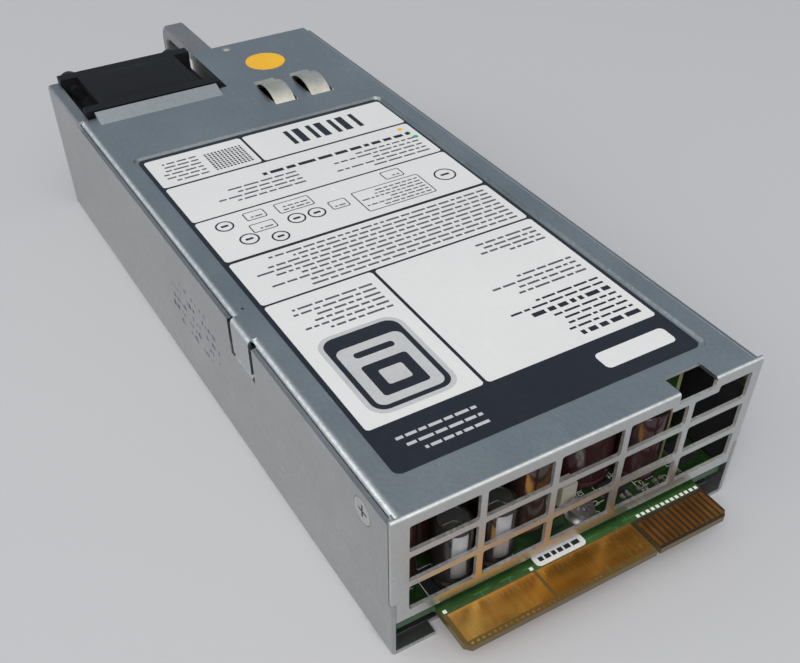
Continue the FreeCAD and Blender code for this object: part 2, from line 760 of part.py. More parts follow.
    # Clearance holes for the side screws, then the windows of the connector panel.
    hole = [(SIDE_SCREW_Y, "side_screw_z", "side_screw_r + seam")]
    pocket(body, "YZ_Plane", [], inner_edge, FLANGE, hole)
    pocket(body, "YZ_Plane", [], "-" + FLANGE, "-(%s)" % inner_edge, hole)
    for column in range(int(size("window_columns"))):
        for row in range(int(size("window_rows"))):
            window = eased_outline(window_outline(column, row), window_turns(column, row), "window_corner")
            pocket(body, "XZ_Plane", [window], FRONT + " - cover_sheet", FRONT)
    return finish(body, "top_cover")


PLATE_RIGHT = "(%s - fan_gap)" % FAN_LEFT
PLATE_LEFT = "(-case_width/2 + wall + seam)"
HANDLE_SCREWS = ("(handle_low + handle_screw_inset)", "(handle_high - handle_screw_inset)")


def build_end_plate():
    """User-side plate with the inlet, latch, light and handle openings, and its side return."""
    body = new_body("plate")
    plate_top = UNDER_COVER + " - seam"
    inner_left = "(%s + cover_sheet + seam)" % PLATE_LEFT
    shoulder = FLANGE_BOTTOM + " - seam"
    face = [(PLATE_LEFT, "wall"), (PLATE_RIGHT, "wall"), (PLATE_RIGHT, plate_top), (inner_left, plate_top),
            (inner_left, shoulder), (PLATE_LEFT, shoulder)]
    pad(body, "XZ_Plane", [face], BACK, BACK + " + wall")
    pad(body, "XY_Plane", [rectangle(PLATE_RIGHT + " - wall", PLATE_RIGHT, BACK, BACK + " + fan_depth - fan_gap")],
        "wall", plate_top)
    pad(body, "XY_Plane", [rectangle(PLATE_LEFT + " + flange_depth", PLATE_RIGHT, BACK, BACK + " + flange_depth")],
        plate_top + " - wall", plate_top)
    openings = [rectangle("inlet_x - inlet_width/2", "inlet_x + inlet_width/2",
                          "inlet_z - inlet_height/2", "inlet_z + inlet_height/2"),
                rectangle(PLATE_LEFT, "inlet_x - inlet_width/2 - wall/2",
                          "lever_z - lever_height/2 - hook_window", "lever_z + lever_height/2 + hook_window")]
    circles = [("light_x", "light_z", "light_r")]
    circles += [("handle_x", height, "board_screw_r + seam") for height in HANDLE_SCREWS]
    pocket(body, "XZ_Plane", openings, BACK, BACK + " + wall", circles)
    return finish(body, "end_plate")


def build_side_screws():
    """Flush countersunk screws through the walls into the cover's flanges."""
    screws = []
    for side in (1, -1):
        name = "side_screw_%s" % ("right" if side > 0 else "left")
        length = "wall + cover_sheet + seam + side_screw_r"
        if side > 0:
            head = cone(name + "_head", "x", INSIDE, SIDE_SCREW_Y, "side_screw_z",
                        "side_screw_r", "side_screw_head_r", "wall")
            shank = rod(name + "_shank", "x", "%s - (%s)" % (SIDE, length), SIDE_SCREW_Y, "side_screw_z",
                        "side_screw_r", length + " - wall/2")
        else:
            head = cone(name + "_head", "x", "-case_width/2", SIDE_SCREW_Y, "side_screw_z",
                        "side_screw_head_r", "side_screw_r", "wall")
            shank = rod(name + "_shank", "x", "-case_width/2 + wall/2", SIDE_SCREW_Y, "side_screw_z",
                        "side_screw_r", length + " - wall/2")
        drive = joined(name + "_drive", [
            box(name + "_slot_a", cross_range(side), (SIDE_SCREW_Y + " - 1.6", SIDE_SCREW_Y + " + 1.6"),
                ("side_screw_z - 0.3", "side_screw_z + 0.3")),
            box(name + "_slot_b", cross_range(side), (SIDE_SCREW_Y + " - 0.3", SIDE_SCREW_Y + " + 0.3"),
                ("side_screw_z - 1.6", "side_screw_z + 1.6"))])
        screws.append(cut(name, joined(name + "_solid", [head, shank]), [drive]))
    return finish(group("side_screws_all", screws), "side_screws")


def cross_range(side):
    """The depth of a screw's cross recess from the outside of a side wall."""
    if side > 0:
        return (SIDE + " - 0.7", SIDE)
    return ("-case_width/2", "-case_width/2 + 0.7")


def build_rivets():
    """One low rivet that holds the cover to the end plate's flange."""
    rivet = cone("rivet_head", "z", "spring_x + spring_pitch/2", BACK + " + flange_depth/2", TOP,
                 "rivet_r", "rivet_r/2", "rivet_rise")
    return finish(rivet, "cover_rivets")


# ------------------------------------------------------------------- the fan

def fan_corners():
    """The four screw places of the fan, as pairs of expressions."""
    return [("(fan_x + %d*fan_hole_pitch/2)" % across, "(%s + %d*fan_hole_pitch/2)" % (FAN_Z, up))
            for across in (-1, 1) for up in (-1, 1)]


def build_fan_frame():
    """Square frame with two flanges, a round bore, four struts and the motor base."""
    block = box("frame_block", (FAN_LEFT, FAN_RIGHT), (FAN_FACE, FAN_INNER), ("0", "fan_size"))
    tools = [rod("frame_bore", "y", "fan_x", FAN_FACE, FAN_Z, "fan_bore_r", "fan_depth")]
    between = (FAN_FACE + " + fan_flange", FAN_INNER + " - fan_flange")
    for number, (across, up) in enumerate(((0, 0), (0, 1), (1, 0), (1, 1))):
        side = (FAN_LEFT, FAN_LEFT + " + fan_corner_cut") if across == 0 else (FAN_RIGHT + " - fan_corner_cut", FAN_RIGHT)
        level = ("0", "fan_corner_cut") if up == 0 else ("fan_size - fan_corner_cut", "fan_size")
        tools.append(box("frame_corner_%d" % number, side, between, level))
    for number, (across, up) in enumerate(fan_corners()):
        tools.append(rod("frame_hole_%d" % number, "y", across, FAN_FACE, up, "fan_hole_r", "fan_depth"))
    frame = cut("frame_cut", block, tools)
    base_y = FAN_INNER + " - motor_base"
    base = tube("motor_base_disc", "y", "fan_x", base_y, FAN_Z, "hub_r", "bearing_r", "motor_base")
    struts = []
    for number, (side, level) in enumerate(((-1, 0), (1, 0), (0, -1), (0, 1))):
        if level == 0:
            across = ("fan_x + hub_r - 0.5", "fan_x + fan_bore_r + 0.5") if side > 0 else (
                "fan_x - fan_bore_r - 0.5", "fan_x - hub_r + 0.5")
            struts.append(box("strut_%d" % number, across, (base_y, FAN_INNER),
                              (FAN_Z + " - strut_width/2", FAN_Z + " + strut_width/2")))
        else:
            reach = (FAN_Z + " + hub_r - 0.5", FAN_Z + " + fan_bore_r + 0.5") if level > 0 else (
                FAN_Z + " - fan_bore_r - 0.5", FAN_Z + " - hub_r + 0.5")
            struts.append(box("strut_%d" % number, ("fan_x - strut_width/2", "fan_x + strut_width/2"),
                              (base_y, FAN_INNER), reach))
    return finish(joined("fan_frame_solid", [frame, base] + struts), "fan_frame")


def build_fan_rotor():
    """Hub cup with swept blades; each blade is lofted between a root and a tip line."""
    centre = FreeCAD.Vector(size("fan_x"), 0, size("fan_size") / 2)
    face = -size("case_length") / 2 - size("fan_reach")
    inner = face + size("fan_depth") - size("motor_base")
    hub_end = inner - size("blade_tip_gap")
    hub_start = hub_end - size("hub_length")
    along = FreeCAD.Vector(0, 1, 0)
    outer = Part.makeCylinder(size("hub_r"), size("hub_length"), centre + along * hub_start, along)
    hollow = Part.makeCylinder(size("hub_r") - size("hub_wall"), size("hub_length") - 2 * size("hub_wall"),
                               centre + along * (hub_start + 2 * size("hub_wall")), along)
    bore = Part.makeCylinder(size("shaft_r"), size("hub_length"), centre + along * hub_start, along)
    hub = outer.cut(hollow).cut(bore)
    tip = size("fan_bore_r") - size("blade_tip_gap")
    count = int(size("blade_count"))
    twist = math.radians(size("blade_twist"))
    half_sheet = size("blade_sheet") / 2
    chord = (size("hub_length") - 2) / 2
    middle = (hub_start + hub_end) / 2
    blades = []
    for number in range(count):
        turn = 2 * math.pi * number / count
        wires = []
        for radius, angle in ((size("hub_r") - 0.6, twist * 0.7), (tip + 1.5, twist * 1.25)):
            corners = []
            for lead, side in ((-1, -1), (1, -1), (1, 1), (-1, 1)):
                sweep = lead * chord * math.tan(angle) + side * half_sheet / math.cos(angle)
                corners.append(FreeCAD.Vector(radius * math.cos(turn) - sweep * math.sin(turn), middle + lead * chord,
                                              radius * math.sin(turn) + sweep * math.cos(turn)) + centre)
            wires.append(Part.makePolygon(corners + [corners[0]]))
        blades.append(Part.makeLoft(wires, True, True))
    limit = Part.makeCylinder(tip, size("hub_length"), centre + along * hub_start, along)
    core = Part.makeCylinder(size("hub_r") - size("hub_wall") / 2, size("hub_length"), centre + along * hub_start, along)
    trimmed = [blade.common(limit).cut(core) for blade in blades]
    rotor = hub.fuse(trimmed)
    piece = doc.addObject("Part::Feature", "rotor")
    piece.Shape = rotor.removeSplitter()
    piece.Placement = FreeCAD.Placement()
    return finish(piece, "fan_rotor")


HUB_END = "(%s - motor_base - blade_tip_gap)" % FAN_INNER
HUB_START = "(%s - hub_length)" % HUB_END


def build_fan_motor():
    """Shaft, bearing and stator inside the hub."""
    shaft = rod("shaft", "y", "fan_x", HUB_START, FAN_Z, "shaft_r", "hub_length + motor_base + blade_tip_gap - seam")
    finish(shaft, "fan_shaft")
    bearing = tube("bearing", "y", "fan_x", FAN_INNER + " - motor_base", FAN_Z, "bearing_r",
                   "shaft_r + shaft_clearance", "motor_base")
    sleeve = tube("bearing_sleeve", "y", "fan_x", HUB_END + " - stator_length", FAN_Z, "bearing_r",
                  "shaft_r + shaft_clearance", "stator_length + blade_tip_gap")
    finish(joined("bearing_solid", [bearing, sleeve]), "fan_bearing")
    ring_y = HUB_END + " - stator_length"
    teeth = []
    for number in range(4):
        turn = 90 * number
        across = "fan_x + (stator_r + bearing_r)/2*%d" % round(math.cos(math.radians(turn)))
        up = "%s + (stator_r + bearing_r)/2*%d" % (FAN_Z, round(math.sin(math.radians(turn))))
        teeth.append(rod("stator_coil_%d" % number, "y", across, ring_y, up, "(stator_r - bearing_r)/2", "stator_length - 1"))
    coil = tube("stator_ring", "y", "fan_x", ring_y + " + stator_length/3", FAN_Z, "stator_r", "bearing_r",
                "stator_length/3")
    finish(joined("stator_solid", [coil] + teeth), "fan_stator")


GUARD_DEPTH = "(2*guard_wire_r + 2*seam)"


def build_fan_guard():
    """Wire guard on the fan's outer face: rings on crossed bars that end in screw eyes."""
    wire = "guard_wire_r"
    bar_y = FAN_FACE + " - guard_wire_r - seam"
    pieces = []
    for number in range(int(size("guard_rings"))):
        pieces.append(ring("guard_ring_%d" % number, "y", "fan_x", bar_y + " - 0.8*guard_wire_r", FAN_Z,
                           "guard_pitch*%d" % (number + 1), wire))
    for number, (across, up) in enumerate(fan_corners()):
        pieces.append(tube("guard_eye_%d" % number, "y", across, FAN_FACE + " - " + GUARD_DEPTH, up,
                           "fan_hole_r + 2*guard_wire_r", "fan_hole_r", GUARD_DEPTH))
    for number, side in enumerate((1, -1)):
        bar = doc.addObject("Part::Cylinder", "guard_bar_%d" % number)
        bind(bar, "Radius", wire)
        bind(bar, "Height", "fan_hole_pitch*sqrt(2) - 2*(fan_hole_r + guard_wire_r)")
        bar.Placement = FreeCAD.Placement(FreeCAD.Vector(), FreeCAD.Rotation(FreeCAD.Vector(0, 1, 0), 45 * side))
        reach = "(fan_hole_pitch/2 - (fan_hole_r + guard_wire_r)/sqrt(2))"
        bind(bar, "Placement.Base.x", "fan_x - %d*%s" % (side, reach))
        bind(bar, "Placement.Base.y", bar_y)
        bind(bar, "Placement.Base.z", "%s - %s" % (FAN_Z, reach))
        pieces.append(bar)
    return finish(joined("guard_solid", pieces, False), "fan_guard")


def build_fan_screws():
    screws = []
    for number, (across, up) in enumerate(fan_corners()):
        head_y = FAN_FACE + " - %s - screw_head" % GUARD_DEPTH
        head = rod("fan_screw_head_%d" % number, "y", across, head_y, up, "fan_screw_head_r", "screw_head")
        shank = rod("fan_screw_shank_%d" % number, "y", across, head_y + " + screw_head", up,
                    "fan_hole_r - shaft_clearance", "2*fan_flange")
        slots = joined("fan_screw_cross_%d" % number, [
            box("fan_screw_cross_a_%d" % number, (across + " - 1.8", across + " + 1.8"),
                (head_y, head_y + " + 1"), (up + " - 0.35", up + " + 0.35")),
            box("fan_screw_cross_b_%d" % number, (across + " - 0.35", across + " + 0.35"),
                (head_y, head_y + " + 1"), (up + " - 1.8", up + " + 1.8"))])
        screws.append(cut("fan_screw_%d" % number, joined("fan_screw_solid_%d" % number, [head, shank]), [slots]))
    return finish(group("fan_screws_all", screws), "fan_screws")


def build_fan_bracket():
    """Sheet behind the fan with a round air opening and a foot on the floor."""
    start = FAN_INNER + " + seam"
    plate = box("bracket_plate", (PLATE_RIGHT, INSIDE + " - seam"), (start, start + " + wall"),
                ("wall", UNDER_COVER + " - recess_depth - seam"))
    foot = box("bracket_foot", (PLATE_RIGHT, INSIDE + " - seam"), (start, start + " + flange_depth"),
               ("wall", "2*wall"))
    hole = rod("bracket_hole", "y", "fan_x", start, FAN_Z, "fan_bore_r - fan_corner_cut/4", "wall")
    return finish(cut("bracket_solid", joined("bracket_sheet", [plate, foot]), [hole]), "fan_bracket")


# --------------------------------------------------------- handle and user end

def build_handle():
    """Closed loop that stands upright on the end plate, so that two fingers pass through it."""
    body = new_body("grip")
    low_x = "handle_x - handle_width/2"
    high_x = "handle_x + handle_width/2"
    outer = rectangle(BACK + " - handle_reach", BACK, "handle_low", "handle_high")
    block = pad(body, "YZ_Plane", [outer], low_x, high_x)
    reach = -size("case_length") / 2 - size("handle_reach")

    def outer_corner(edge):
        return near(edge.YMin, reach) and near(edge.YMax, reach) and near(edge.ZLength, 0)

    round_edges(body, block, outer_corner, "handle_corner")
    inner = rectangle(BACK + " - handle_reach + handle_strap", BACK + " - handle_foot",
                      "handle_low + handle_strap", "handle_high - handle_strap")
    opening = pocket(body, "YZ_Plane", [inner], low_x, high_x)
    inside = -size("case_length") / 2 - size("handle_reach") + size("handle_strap")

    def inner_corner(edge):
        return near(edge.YMin, inside) and near(edge.YMax, inside) and near(edge.ZLength, 0)

    rounded = round_edges(body, opening, inner_corner, "handle_corner - handle_strap/2")
    plate = -size("case_length") / 2

    def rim(edge):
        flat = near(edge.XLength, 0)
        return flat and edge.YMax < plate - 0.01

    round_edges(body, rounded, rim, "handle_edge")
    pocket(body, "XZ_Plane", [], BACK + " - handle_foot", BACK,
           [("handle_x", height, "board_screw_r") for height in HANDLE_SCREWS])
    return finish(body, "handle")


def build_handle_screws():
    screws = []
    for number, height in enumerate(HANDLE_SCREWS):
        head = rod("handle_screw_head_%d" % number, "y", "handle_x", BACK + " + wall", height,
                   "screw_head_r", "screw_head")
        shank = rod("handle_screw_shank_%d" % number, "y", "handle_x", BACK + " - handle_foot + seam", height,
                    "board_screw_r - shaft_clearance", "handle_foot + wall")
        screws.append(joined("handle_screw_%d" % number, [head, shank]))
    return finish(group("handle_screws_all", screws), "handle_screws")


INLET_LEFT = "(inlet_x - inlet_width/2)"
INLET_RIGHT = "(inlet_x + inlet_width/2)"


def build_inlet():
    """Shrouded three-pole inlet that snaps into the end plate."""
    body = new_body("inlet")
    pad(body, "XZ_Plane", [rectangle(INLET_LEFT, INLET_RIGHT, "inlet_z - inlet_height/2", "inlet_z + inlet_height/2")],
        BACK, BACK + " + inlet_depth")
    pad(body, "XZ_Plane", [rectangle(INLET_LEFT, INLET_RIGHT, "inlet_z - inlet_flange_height/2",
                                     "inlet_z + inlet_flange_height/2")], BACK + " - inlet_flange", BACK)
    left = "inlet_x - recess_width/2"
    right = "inlet_x + recess_width/2"
    low = "inlet_z - recess_height/2"
    high = "inlet_z + recess_height/2"
    mouth = [(left, low), (right, low), (right, high + " - recess_cut"), (right + " - recess_cut", high),
             (left + " + recess_cut", high), (left, high + " - recess_cut")]
    pocket(body, "XZ_Plane", [mouth], BACK + " - inlet_flange", BACK + " - inlet_flange + recess_length")
    floor = BACK + " - inlet_flange + recess_length"
    pocket(body, "XZ_Plane", [rectangle(*across, *level) for across, level in pin_places()], floor,
           BACK + " + inlet_depth")
    return finish(body, "inlet_body")


def pin_places():
    """The three pins as pairs of ranges across and up; the middle one stands higher."""
    places = []
    for side, level in ((-1, -1), (0, 1), (1, -1)):
        middle = "inlet_x + %d*blade_pin_x" % side
        height = "inlet_z + %d*blade_pin_z" % level
        places.append(((middle + " - pin_thickness/2", middle + " + pin_thickness/2"),
                       (height + " - pin_height/2", height + " + pin_height/2")))
    return places


def build_inlet_pins():
    pins = []
    for number, (across, level) in enumerate(pin_places()):
        pins.append(box("pin_%d" % number, across,
                        (BACK + " + seam", BACK + " + inlet_depth + handle_foot"), level))
    return finish(group("pins_all", pins), "inlet_pins")


LEVER_LEFT = "(-case_width/2 + wall + lever_gap)"
LEVER_LOW = "(lever_z - lever_height/2)"
LEVER_HIGH = "(lever_z + lever_height/2)"
PAD_END = "(-case_length/2 - lever_reach)"


def build_latch():
    """Lever on an upright pin, with the catch behind the end plate and the thumb pad in front."""
    body = new_body("latch")
    arm_right = LEVER_LEFT + " + lever_sheet"
    pad(body, "XY_Plane", [rectangle(LEVER_LEFT, arm_right, PAD_END, "pivot_y")], LEVER_LOW, LEVER_HIGH)
    pad(body, "XY_Plane", [], LEVER_LOW, LEVER_HIGH, [("pivot_x", "pivot_y", "knuckle_r")])
    hook_root = "hook_y + hook_length/2"
    hook_tip = "-case_width/2 - hook_reach"
    catch = [(arm_right, hook_root + " + hook_length/2"), (LEVER_LEFT, hook_root), (hook_tip, hook_root),
             (hook_tip, "hook_y"), (LEVER_LEFT, "hook_y - hook_length/2"), (arm_right, "hook_y - hook_length/2")]
    pad(body, "XY_Plane", [catch], "lever_z - hook_height/2", "lever_z + hook_height/2")
    thumb = [(LEVER_LEFT, PAD_END), (LEVER_LEFT + " + pad_thickness", PAD_END),
             (LEVER_LEFT + " + pad_thickness", PAD_END + " + pad_length/2"),
             (arm_right, PAD_END + " + pad_length"), (LEVER_LEFT, PAD_END + " + pad_length")]
    pad(body, "XY_Plane", [thumb], LEVER_LOW + " - pad_rise", LEVER_HIGH + " + pad_rise")
    pocket(body, "XY_Plane", [], LEVER_LOW, LEVER_HIGH, [("pivot_x", "pivot_y", "pivot_pin_r + shaft_clearance")])
    pocket(body, "XY_Plane", [], "lever_z - coil_height/2 - seam", "lever_z + coil_height/2 + seam",
           [("pivot_x", "pivot_y", "knuckle_r + lever_gap")])
    return finish(body, "release_latch")


def build_latch_mount():
    """Clevis riveted to the -X wall, its pin, and the torsion spring on the pin."""
    low = LEVER_LOW + " - lever_gap"
    high = LEVER_HIGH + " + lever_gap"
    across = ("-case_width/2 + wall", "pivot_x + knuckle_r + lever_gap")
    along = ("pivot_y - knuckle_r", "pivot_y + 4*knuckle_r")
    lower = box("ear_low", across, along, (low + " - ear_sheet", low))
    upper = box("ear_high", across, along, (high, high + " + ear_sheet"))
    web = box("ear_web", ("-case_width/2 + wall", "-case_width/2 + wall + ear_sheet"),
              ("pivot_y + 2*knuckle_r", "pivot_y + 4*knuckle_r"), (low + " - ear_sheet", high + " + ear_sheet"))
    pin_bore = rod("ear_bore", "z", "pivot_x", "pivot_y", low + " - ear_sheet", "pivot_pin_r",
                   "lever_height + 2*lever_gap + 2*ear_sheet")
    finish(cut("bracket_ears", joined("ears", [lower, upper, web]), [pin_bore]), "latch_bracket")
    pin = rod("pivot_pin", "z", "pivot_x", "pivot_y", low + " - ear_sheet", "pivot_pin_r",
              "lever_height + 2*lever_gap + 2*ear_sheet")
    finish(pin, "latch_pin")
    coils = []
    turns = 4
    for number in range(turns):
        level = "lever_z + (%d - %g)*coil_height/%d" % (number, (turns - 1) / 2, turns)
        coils.append(ring("coil_%d" % number, "z", "pivot_x", "pivot_y", level,
                          "pivot_pin_r + shaft_clearance + coil_height/%d/1.9" % turns, "coil_height/%d/1.9" % turns))
    finish(joined("coil_solid", coils), "latch_spring")


def build_light():
    head = rod("light_head", "y", "light_x", BACK + " - seam*6", "light_z", "light_r + 0.4", "seam*6")
    pipe = rod("light_pipe", "y", "light_x", BACK, "light_z", "light_r", "flange_depth")
    return finish(joined("light_solid", [head, pipe]), "status_light")


# ------------------------------------------------------------ board, card edge

BOARD_HALF = "(case_width/2 - wall - board_gap)"
BOARD_FRONT = "(case_length/2 - board_inset)"
TONGUE_END = "(case_length/2 + tongue_reach)"
HALF_TONGUE = "(tongue_width/2)"


def screw_places():
    """Where the board is screwed down, as pairs of expressions."""
    edge = "(%s - screw_inset)" % BOARD_HALF
    return [("front_screw_x", "(case_length/2 - front_screw_inset)"), (edge, "(board_fan_back + screw_inset)"),
            ("-" + edge, "(board_back + 2*flange_depth + screw_inset)"), (edge, "(core_y + screw_inset)"),
            ("-" + edge, "(core_y + core_depth + screw_inset)")]


def build_board():
    """Main board; its card-edge tongue leaves the case under the ventilated panel."""
    body = new_body("board")
    inner = PLATE_RIGHT + " - seam"
    outline = [("-" + BOARD_HALF, "board_back"), (inner, "board_back"), (inner, "board_fan_back"),
               (BOARD_HALF, "board_fan_back"), (BOARD_HALF, BOARD_FRONT), (HALF_TONGUE, BOARD_FRONT),
               (HALF_TONGUE, TONGUE_END + " - tongue_corner"), (HALF_TONGUE + " - tongue_corner", TONGUE_END),
               ("-" + HALF_TONGUE + " + tongue_corner", TONGUE_END),
               ("-" + HALF_TONGUE, TONGUE_END + " - tongue_corner"), ("-" + HALF_TONGUE, BOARD_FRONT),
               ("-" + BOARD_HALF, BOARD_FRONT)]
    sheet_pad = pad(body, "XY_Plane", [outline], "board_z", BOARD_TOP)
    front = size("case_length") / 2
    half = size("tongue_width") / 2

    def upright_at(edge, across, along):
        return near(abs(edge.XMin), across) and near(edge.YMin, along) and near(edge.ZLength, size("board_thickness"))

    round_edges(body, sheet_pad, lambda edge: upright_at(edge, half, front - size("board_inset")), "tongue_root")
    pocket(body, "XY_Plane", [rectangle("key_slot_x - key_slot_width/2", "key_slot_x + key_slot_width/2",
                                        TONGUE_END + " - key_slot_depth", TONGUE_END)], "board_z", BOARD_TOP)
    pocket(body, "XY_Plane", [], "board_z", BOARD_TOP,
           [(across, along, "board_screw_r + seam") for across, along in screw_places()])
    return finish(body, "main_board")


def both_faces(name, x, y):
    """Metal on the board's upper and lower face."""
    return [box(name + "_upper", x, y, (BOARD_TOP, BOARD_TOP + " + pad_metal")),
            box(name + "_lower", x, y, ("board_z - pad_metal", "board_z"))]


def build_pads():
    """Two wide power pads and a row of signal fingers, on both faces of the tongue."""
    key_edge = "key_slot_x + key_slot_width/2"
    along = (FRONT + " + pad_back", TONGUE_END + " - pad_margin")
    pads = both_faces("pad_main", (key_edge + " + pad_split/2", "pad_split_x - pad_split/2"), along)
    pads += both_faces("pad_side", ("pad_split_x + pad_split/2", HALF_TONGUE + " - pad_margin*0.7"), along)
    finish(group("pads_all", pads), "power_pads")
    fingers = []
    for number in range(int(size("finger_count"))):
        left = "-tongue_width/2 + finger_margin + %d*finger_pitch" % number
        fingers += both_faces("finger_%d" % number, (left, left + " + finger_width"),
                              (FRONT + " + pad_back + pad_split", TONGUE_END + " - pad_margin + pad_split"))
    finish(group("fingers_all", fingers), "signal_fingers")


def build_stickers():
    """Blank stickers: the large one in the cover's recess, a dot beside it and a slip on the board."""
    floor = TOP + " - recess_depth"
    label = box("label", ("label_x - label_width/2", "label_x + label_width/2"),
                (FRONT + " - label_inset - label_length", FRONT + " - label_inset"),
                (floor, floor + " + label_thickness"))
    finish(label, "rating_label")
    dot = rod("dot", "z", "dot_x", "dot_y", TOP, "dot_r", "label_thickness")
    finish(dot, "plain_dot")
    slip = box("slip", ("front_screw_x + washer_r", "can_x - can_pitch - can_r - slip_gap"),
               (FRONT + " - slip_inset", FRONT + " + pad_back - pad_split/2"),
               (BOARD_TOP, BOARD_TOP + " + label_thickness"))
    finish(slip, "board_slip")


def build_board_mounts():
    """Standoffs swaged into the floor, and screws with washers."""
    standoffs = []
    screws = []
    washers = []
    for number, (across, along) in enumerate(screw_places()):
        standoffs.append(tube("standoff_%d" % number, "z", across, along, "wall", "standoff_r", "board_screw_r",
                              "board_z - wall"))
        washers.append(tube("washer_%d" % number, "z", across, along, BOARD_TOP, "washer_r", "board_screw_r + seam",
                            "washer_sheet"))
        seat = BOARD_TOP + " + washer_sheet"
        head = rod("head_%d" % number, "z", across, along, seat, "screw_head_r", "screw_head")
        shank = rod("shank_%d" % number, "z", across, along, seat + " - 3*board_thickness",
                    "board_screw_r - shaft_clearance", "3*board_thickness")
        cross = joined("cross_%d" % number, [
            box("cross_a_%d" % number, (across + " - 1.6", across + " + 1.6"), (along + " - 0.3", along + " + 0.3"),
                (seat + " + 1", seat + " + screw_head")),
            box("cross_b_%d" % number, (across + " - 0.3", across + " + 0.3"), (along + " - 1.6", along + " + 1.6"),
                (seat + " + 1", seat + " + screw_head"))])
        screws.append(cut("board_screw_%d" % number, joined("board_screw_solid_%d" % number, [head, shank]), [cross]))
    finish(group("standoffs_all", standoffs), "standoffs")
    finish(group("washers_all", washers), "board_washers")
    finish(group("board_screws_all", screws), "board_screws")


def build_films():
    """Insulating films on the floor and on the -X wall."""
    film = box("film", ("-(%s)" % BOARD_HALF, BOARD_HALF), ("board_fan_back + flange_depth/2", FRONT + " - lip_cut - seam"),
               ("wall", "wall + film"))
    holes = [rod("film_hole_%d" % number, "z", across, along, "wall", "standoff_r + seam", "film")
             for number, (across, along) in enumerate(screw_places())]
    finish(cut("film_floor", film, holes), "floor_film")
    side = box("film_side", ("-" + INSIDE, "-" + INSIDE + " + film"),
               (TAB_HIGH + " + 2*tab_slot", BOARD_FRONT + " - seam*5"), (BOARD_TOP, "side_screw_z - 2*side_screw_r"))
    finish(side, "wall_film")


# ----------------------------------------------------------- parts on the board

def standing_can(name, x, y, radius, height):
    """Upright capacitor: a sleeve with a crimp above its base and a shallow dish in the top."""
    bottom = BOARD_TOP
    top = "%s + %s" % (bottom, height)
    can = rod(name + "_can", "z", x, y, bottom, radius, height)
    crimp = ring(name + "_crimp", "z", x, y, bottom + " + 2.2", "%s + 0.35" % radius, "0.7")
    dish = rod(name + "_dish", "z", x, y, "%s - 0.4" % top, "%s - 0.8" % radius, "0.4")
    return cut(name, can, [crimp, dish])


CAN_Y = "(case_length/2 - can_inset)"


def build_capacitors():
    """The row of output capacitors behind the ventilated panel, and the lying bulk capacitor."""
    bright = [standing_can("can_%d" % number, "can_x - %d*can_pitch" % number, CAN_Y, "can_r", "can_height")
              for number in range(2)]
    finish(group("cans_all", bright), "output_cans")
    brown_places = [("can_x + can_pitch", CAN_Y + " - 1.2*brown_r"), ("can_x - 2.15*can_pitch", CAN_Y + " - brown_r"),
                    ("can_x + brown_r - can_r", CAN_Y + " - 2.3*brown_r"),
                    ("can_x - can_pitch", CAN_Y + " - 2.3*brown_r"),
                    ("can_x + can_pitch", CAN_Y + " - 3.4*brown_r"), ("can_x - 2.1*can_pitch", CAN_Y + " - 3.2*brown_r")]
    brown = [standing_can("brown_%d" % number, across, along, "brown_r", "brown_height")
             for number, (across, along) in enumerate(brown_places)]
    finish(group("browns_all", brown), "brown_capacitors")
    maroon = [standing_can("maroon_big", "maroon_x", "maroon_y", "maroon_r", "maroon_height"),
              standing_can("maroon_small", "maroon_x - maroon_r - 0.62*brown_r", "maroon_y + 1.4*brown_r",
                           "brown_r", "brown_height - can_r")]
    finish(group("maroons_all", maroon), "maroon_capacitors")
    level = BOARD_TOP + " + seat + bulk_r"
    can = rod("bulk_can", "y", "bulk_x", "bulk_y", level, "bulk_r", "bulk_length")
    crimp = ring("bulk_crimp", "y", "bulk_x", "bulk_y + 4", level, "bulk_r + 0.6", "1.2")
    finish(cut("bulk", can, [crimp]), "bulk_capacitor")
    cradle = box("cradle_block", ("bulk_x - bulk_r/2", "bulk_x + bulk_r/2"),
                 ("bulk_y + bulk_length/4", "bulk_y + 3*bulk_length/4"), (BOARD_TOP, level + " - bulk_r/2"))
    hollow = rod("cradle_hollow", "y", "bulk_x", "bulk_y", level, "bulk_r", "bulk_length")
    finish(cut("cradle", cradle, [hollow]), "capacitor_bed")


CONTROL_LEFT = "(control_x - control_sheet/2)"
CONTROL_RIGHT = "(control_x + control_sheet/2)"
CONTROL_FRONT = "(case_length/2 - control_inset)"


def build_control_board():
    """Upright control board in a header, with its chips."""
    along = (CONTROL_FRONT + " - control_length", CONTROL_FRONT)
    board = box("control", (CONTROL_LEFT, CONTROL_RIGHT), along, (BOARD_TOP + " + seat", "control_top"))
    finish(board, "control_board")
    header = box("header_block", (CONTROL_LEFT + " - 1.5", CONTROL_RIGHT + " + 1.5"),
                 (CONTROL_FRONT + " - 0.9*control_length", CONTROL_FRONT + " - 0.5*control_length"),
                 (BOARD_TOP, BOARD_TOP + " + 4"))
    blade = box("header_slot", (CONTROL_LEFT, CONTROL_RIGHT), along, (BOARD_TOP + " + seat", BOARD_TOP + " + 4"))
    finish(cut("header", header, [blade]), "control_header")
    chips = []
    for number, (start, low, width, height) in enumerate(((6, 6, 7, 7), (17, 14, 5, 4), (26, 5, 10, 6), (40, 13, 6, 5))):
        chips.append(box("control_chip_%d" % number, (CONTROL_RIGHT, CONTROL_RIGHT + " + 1.1"),
                         (CONTROL_FRONT + " - %d - %d" % (start, width), CONTROL_FRONT + " - %d" % start),
                         (BOARD_TOP + " + %d" % low, BOARD_TOP + " + %d + %d" % (low, height))))
    finish(group("control_chips_all", chips), "control_chips")


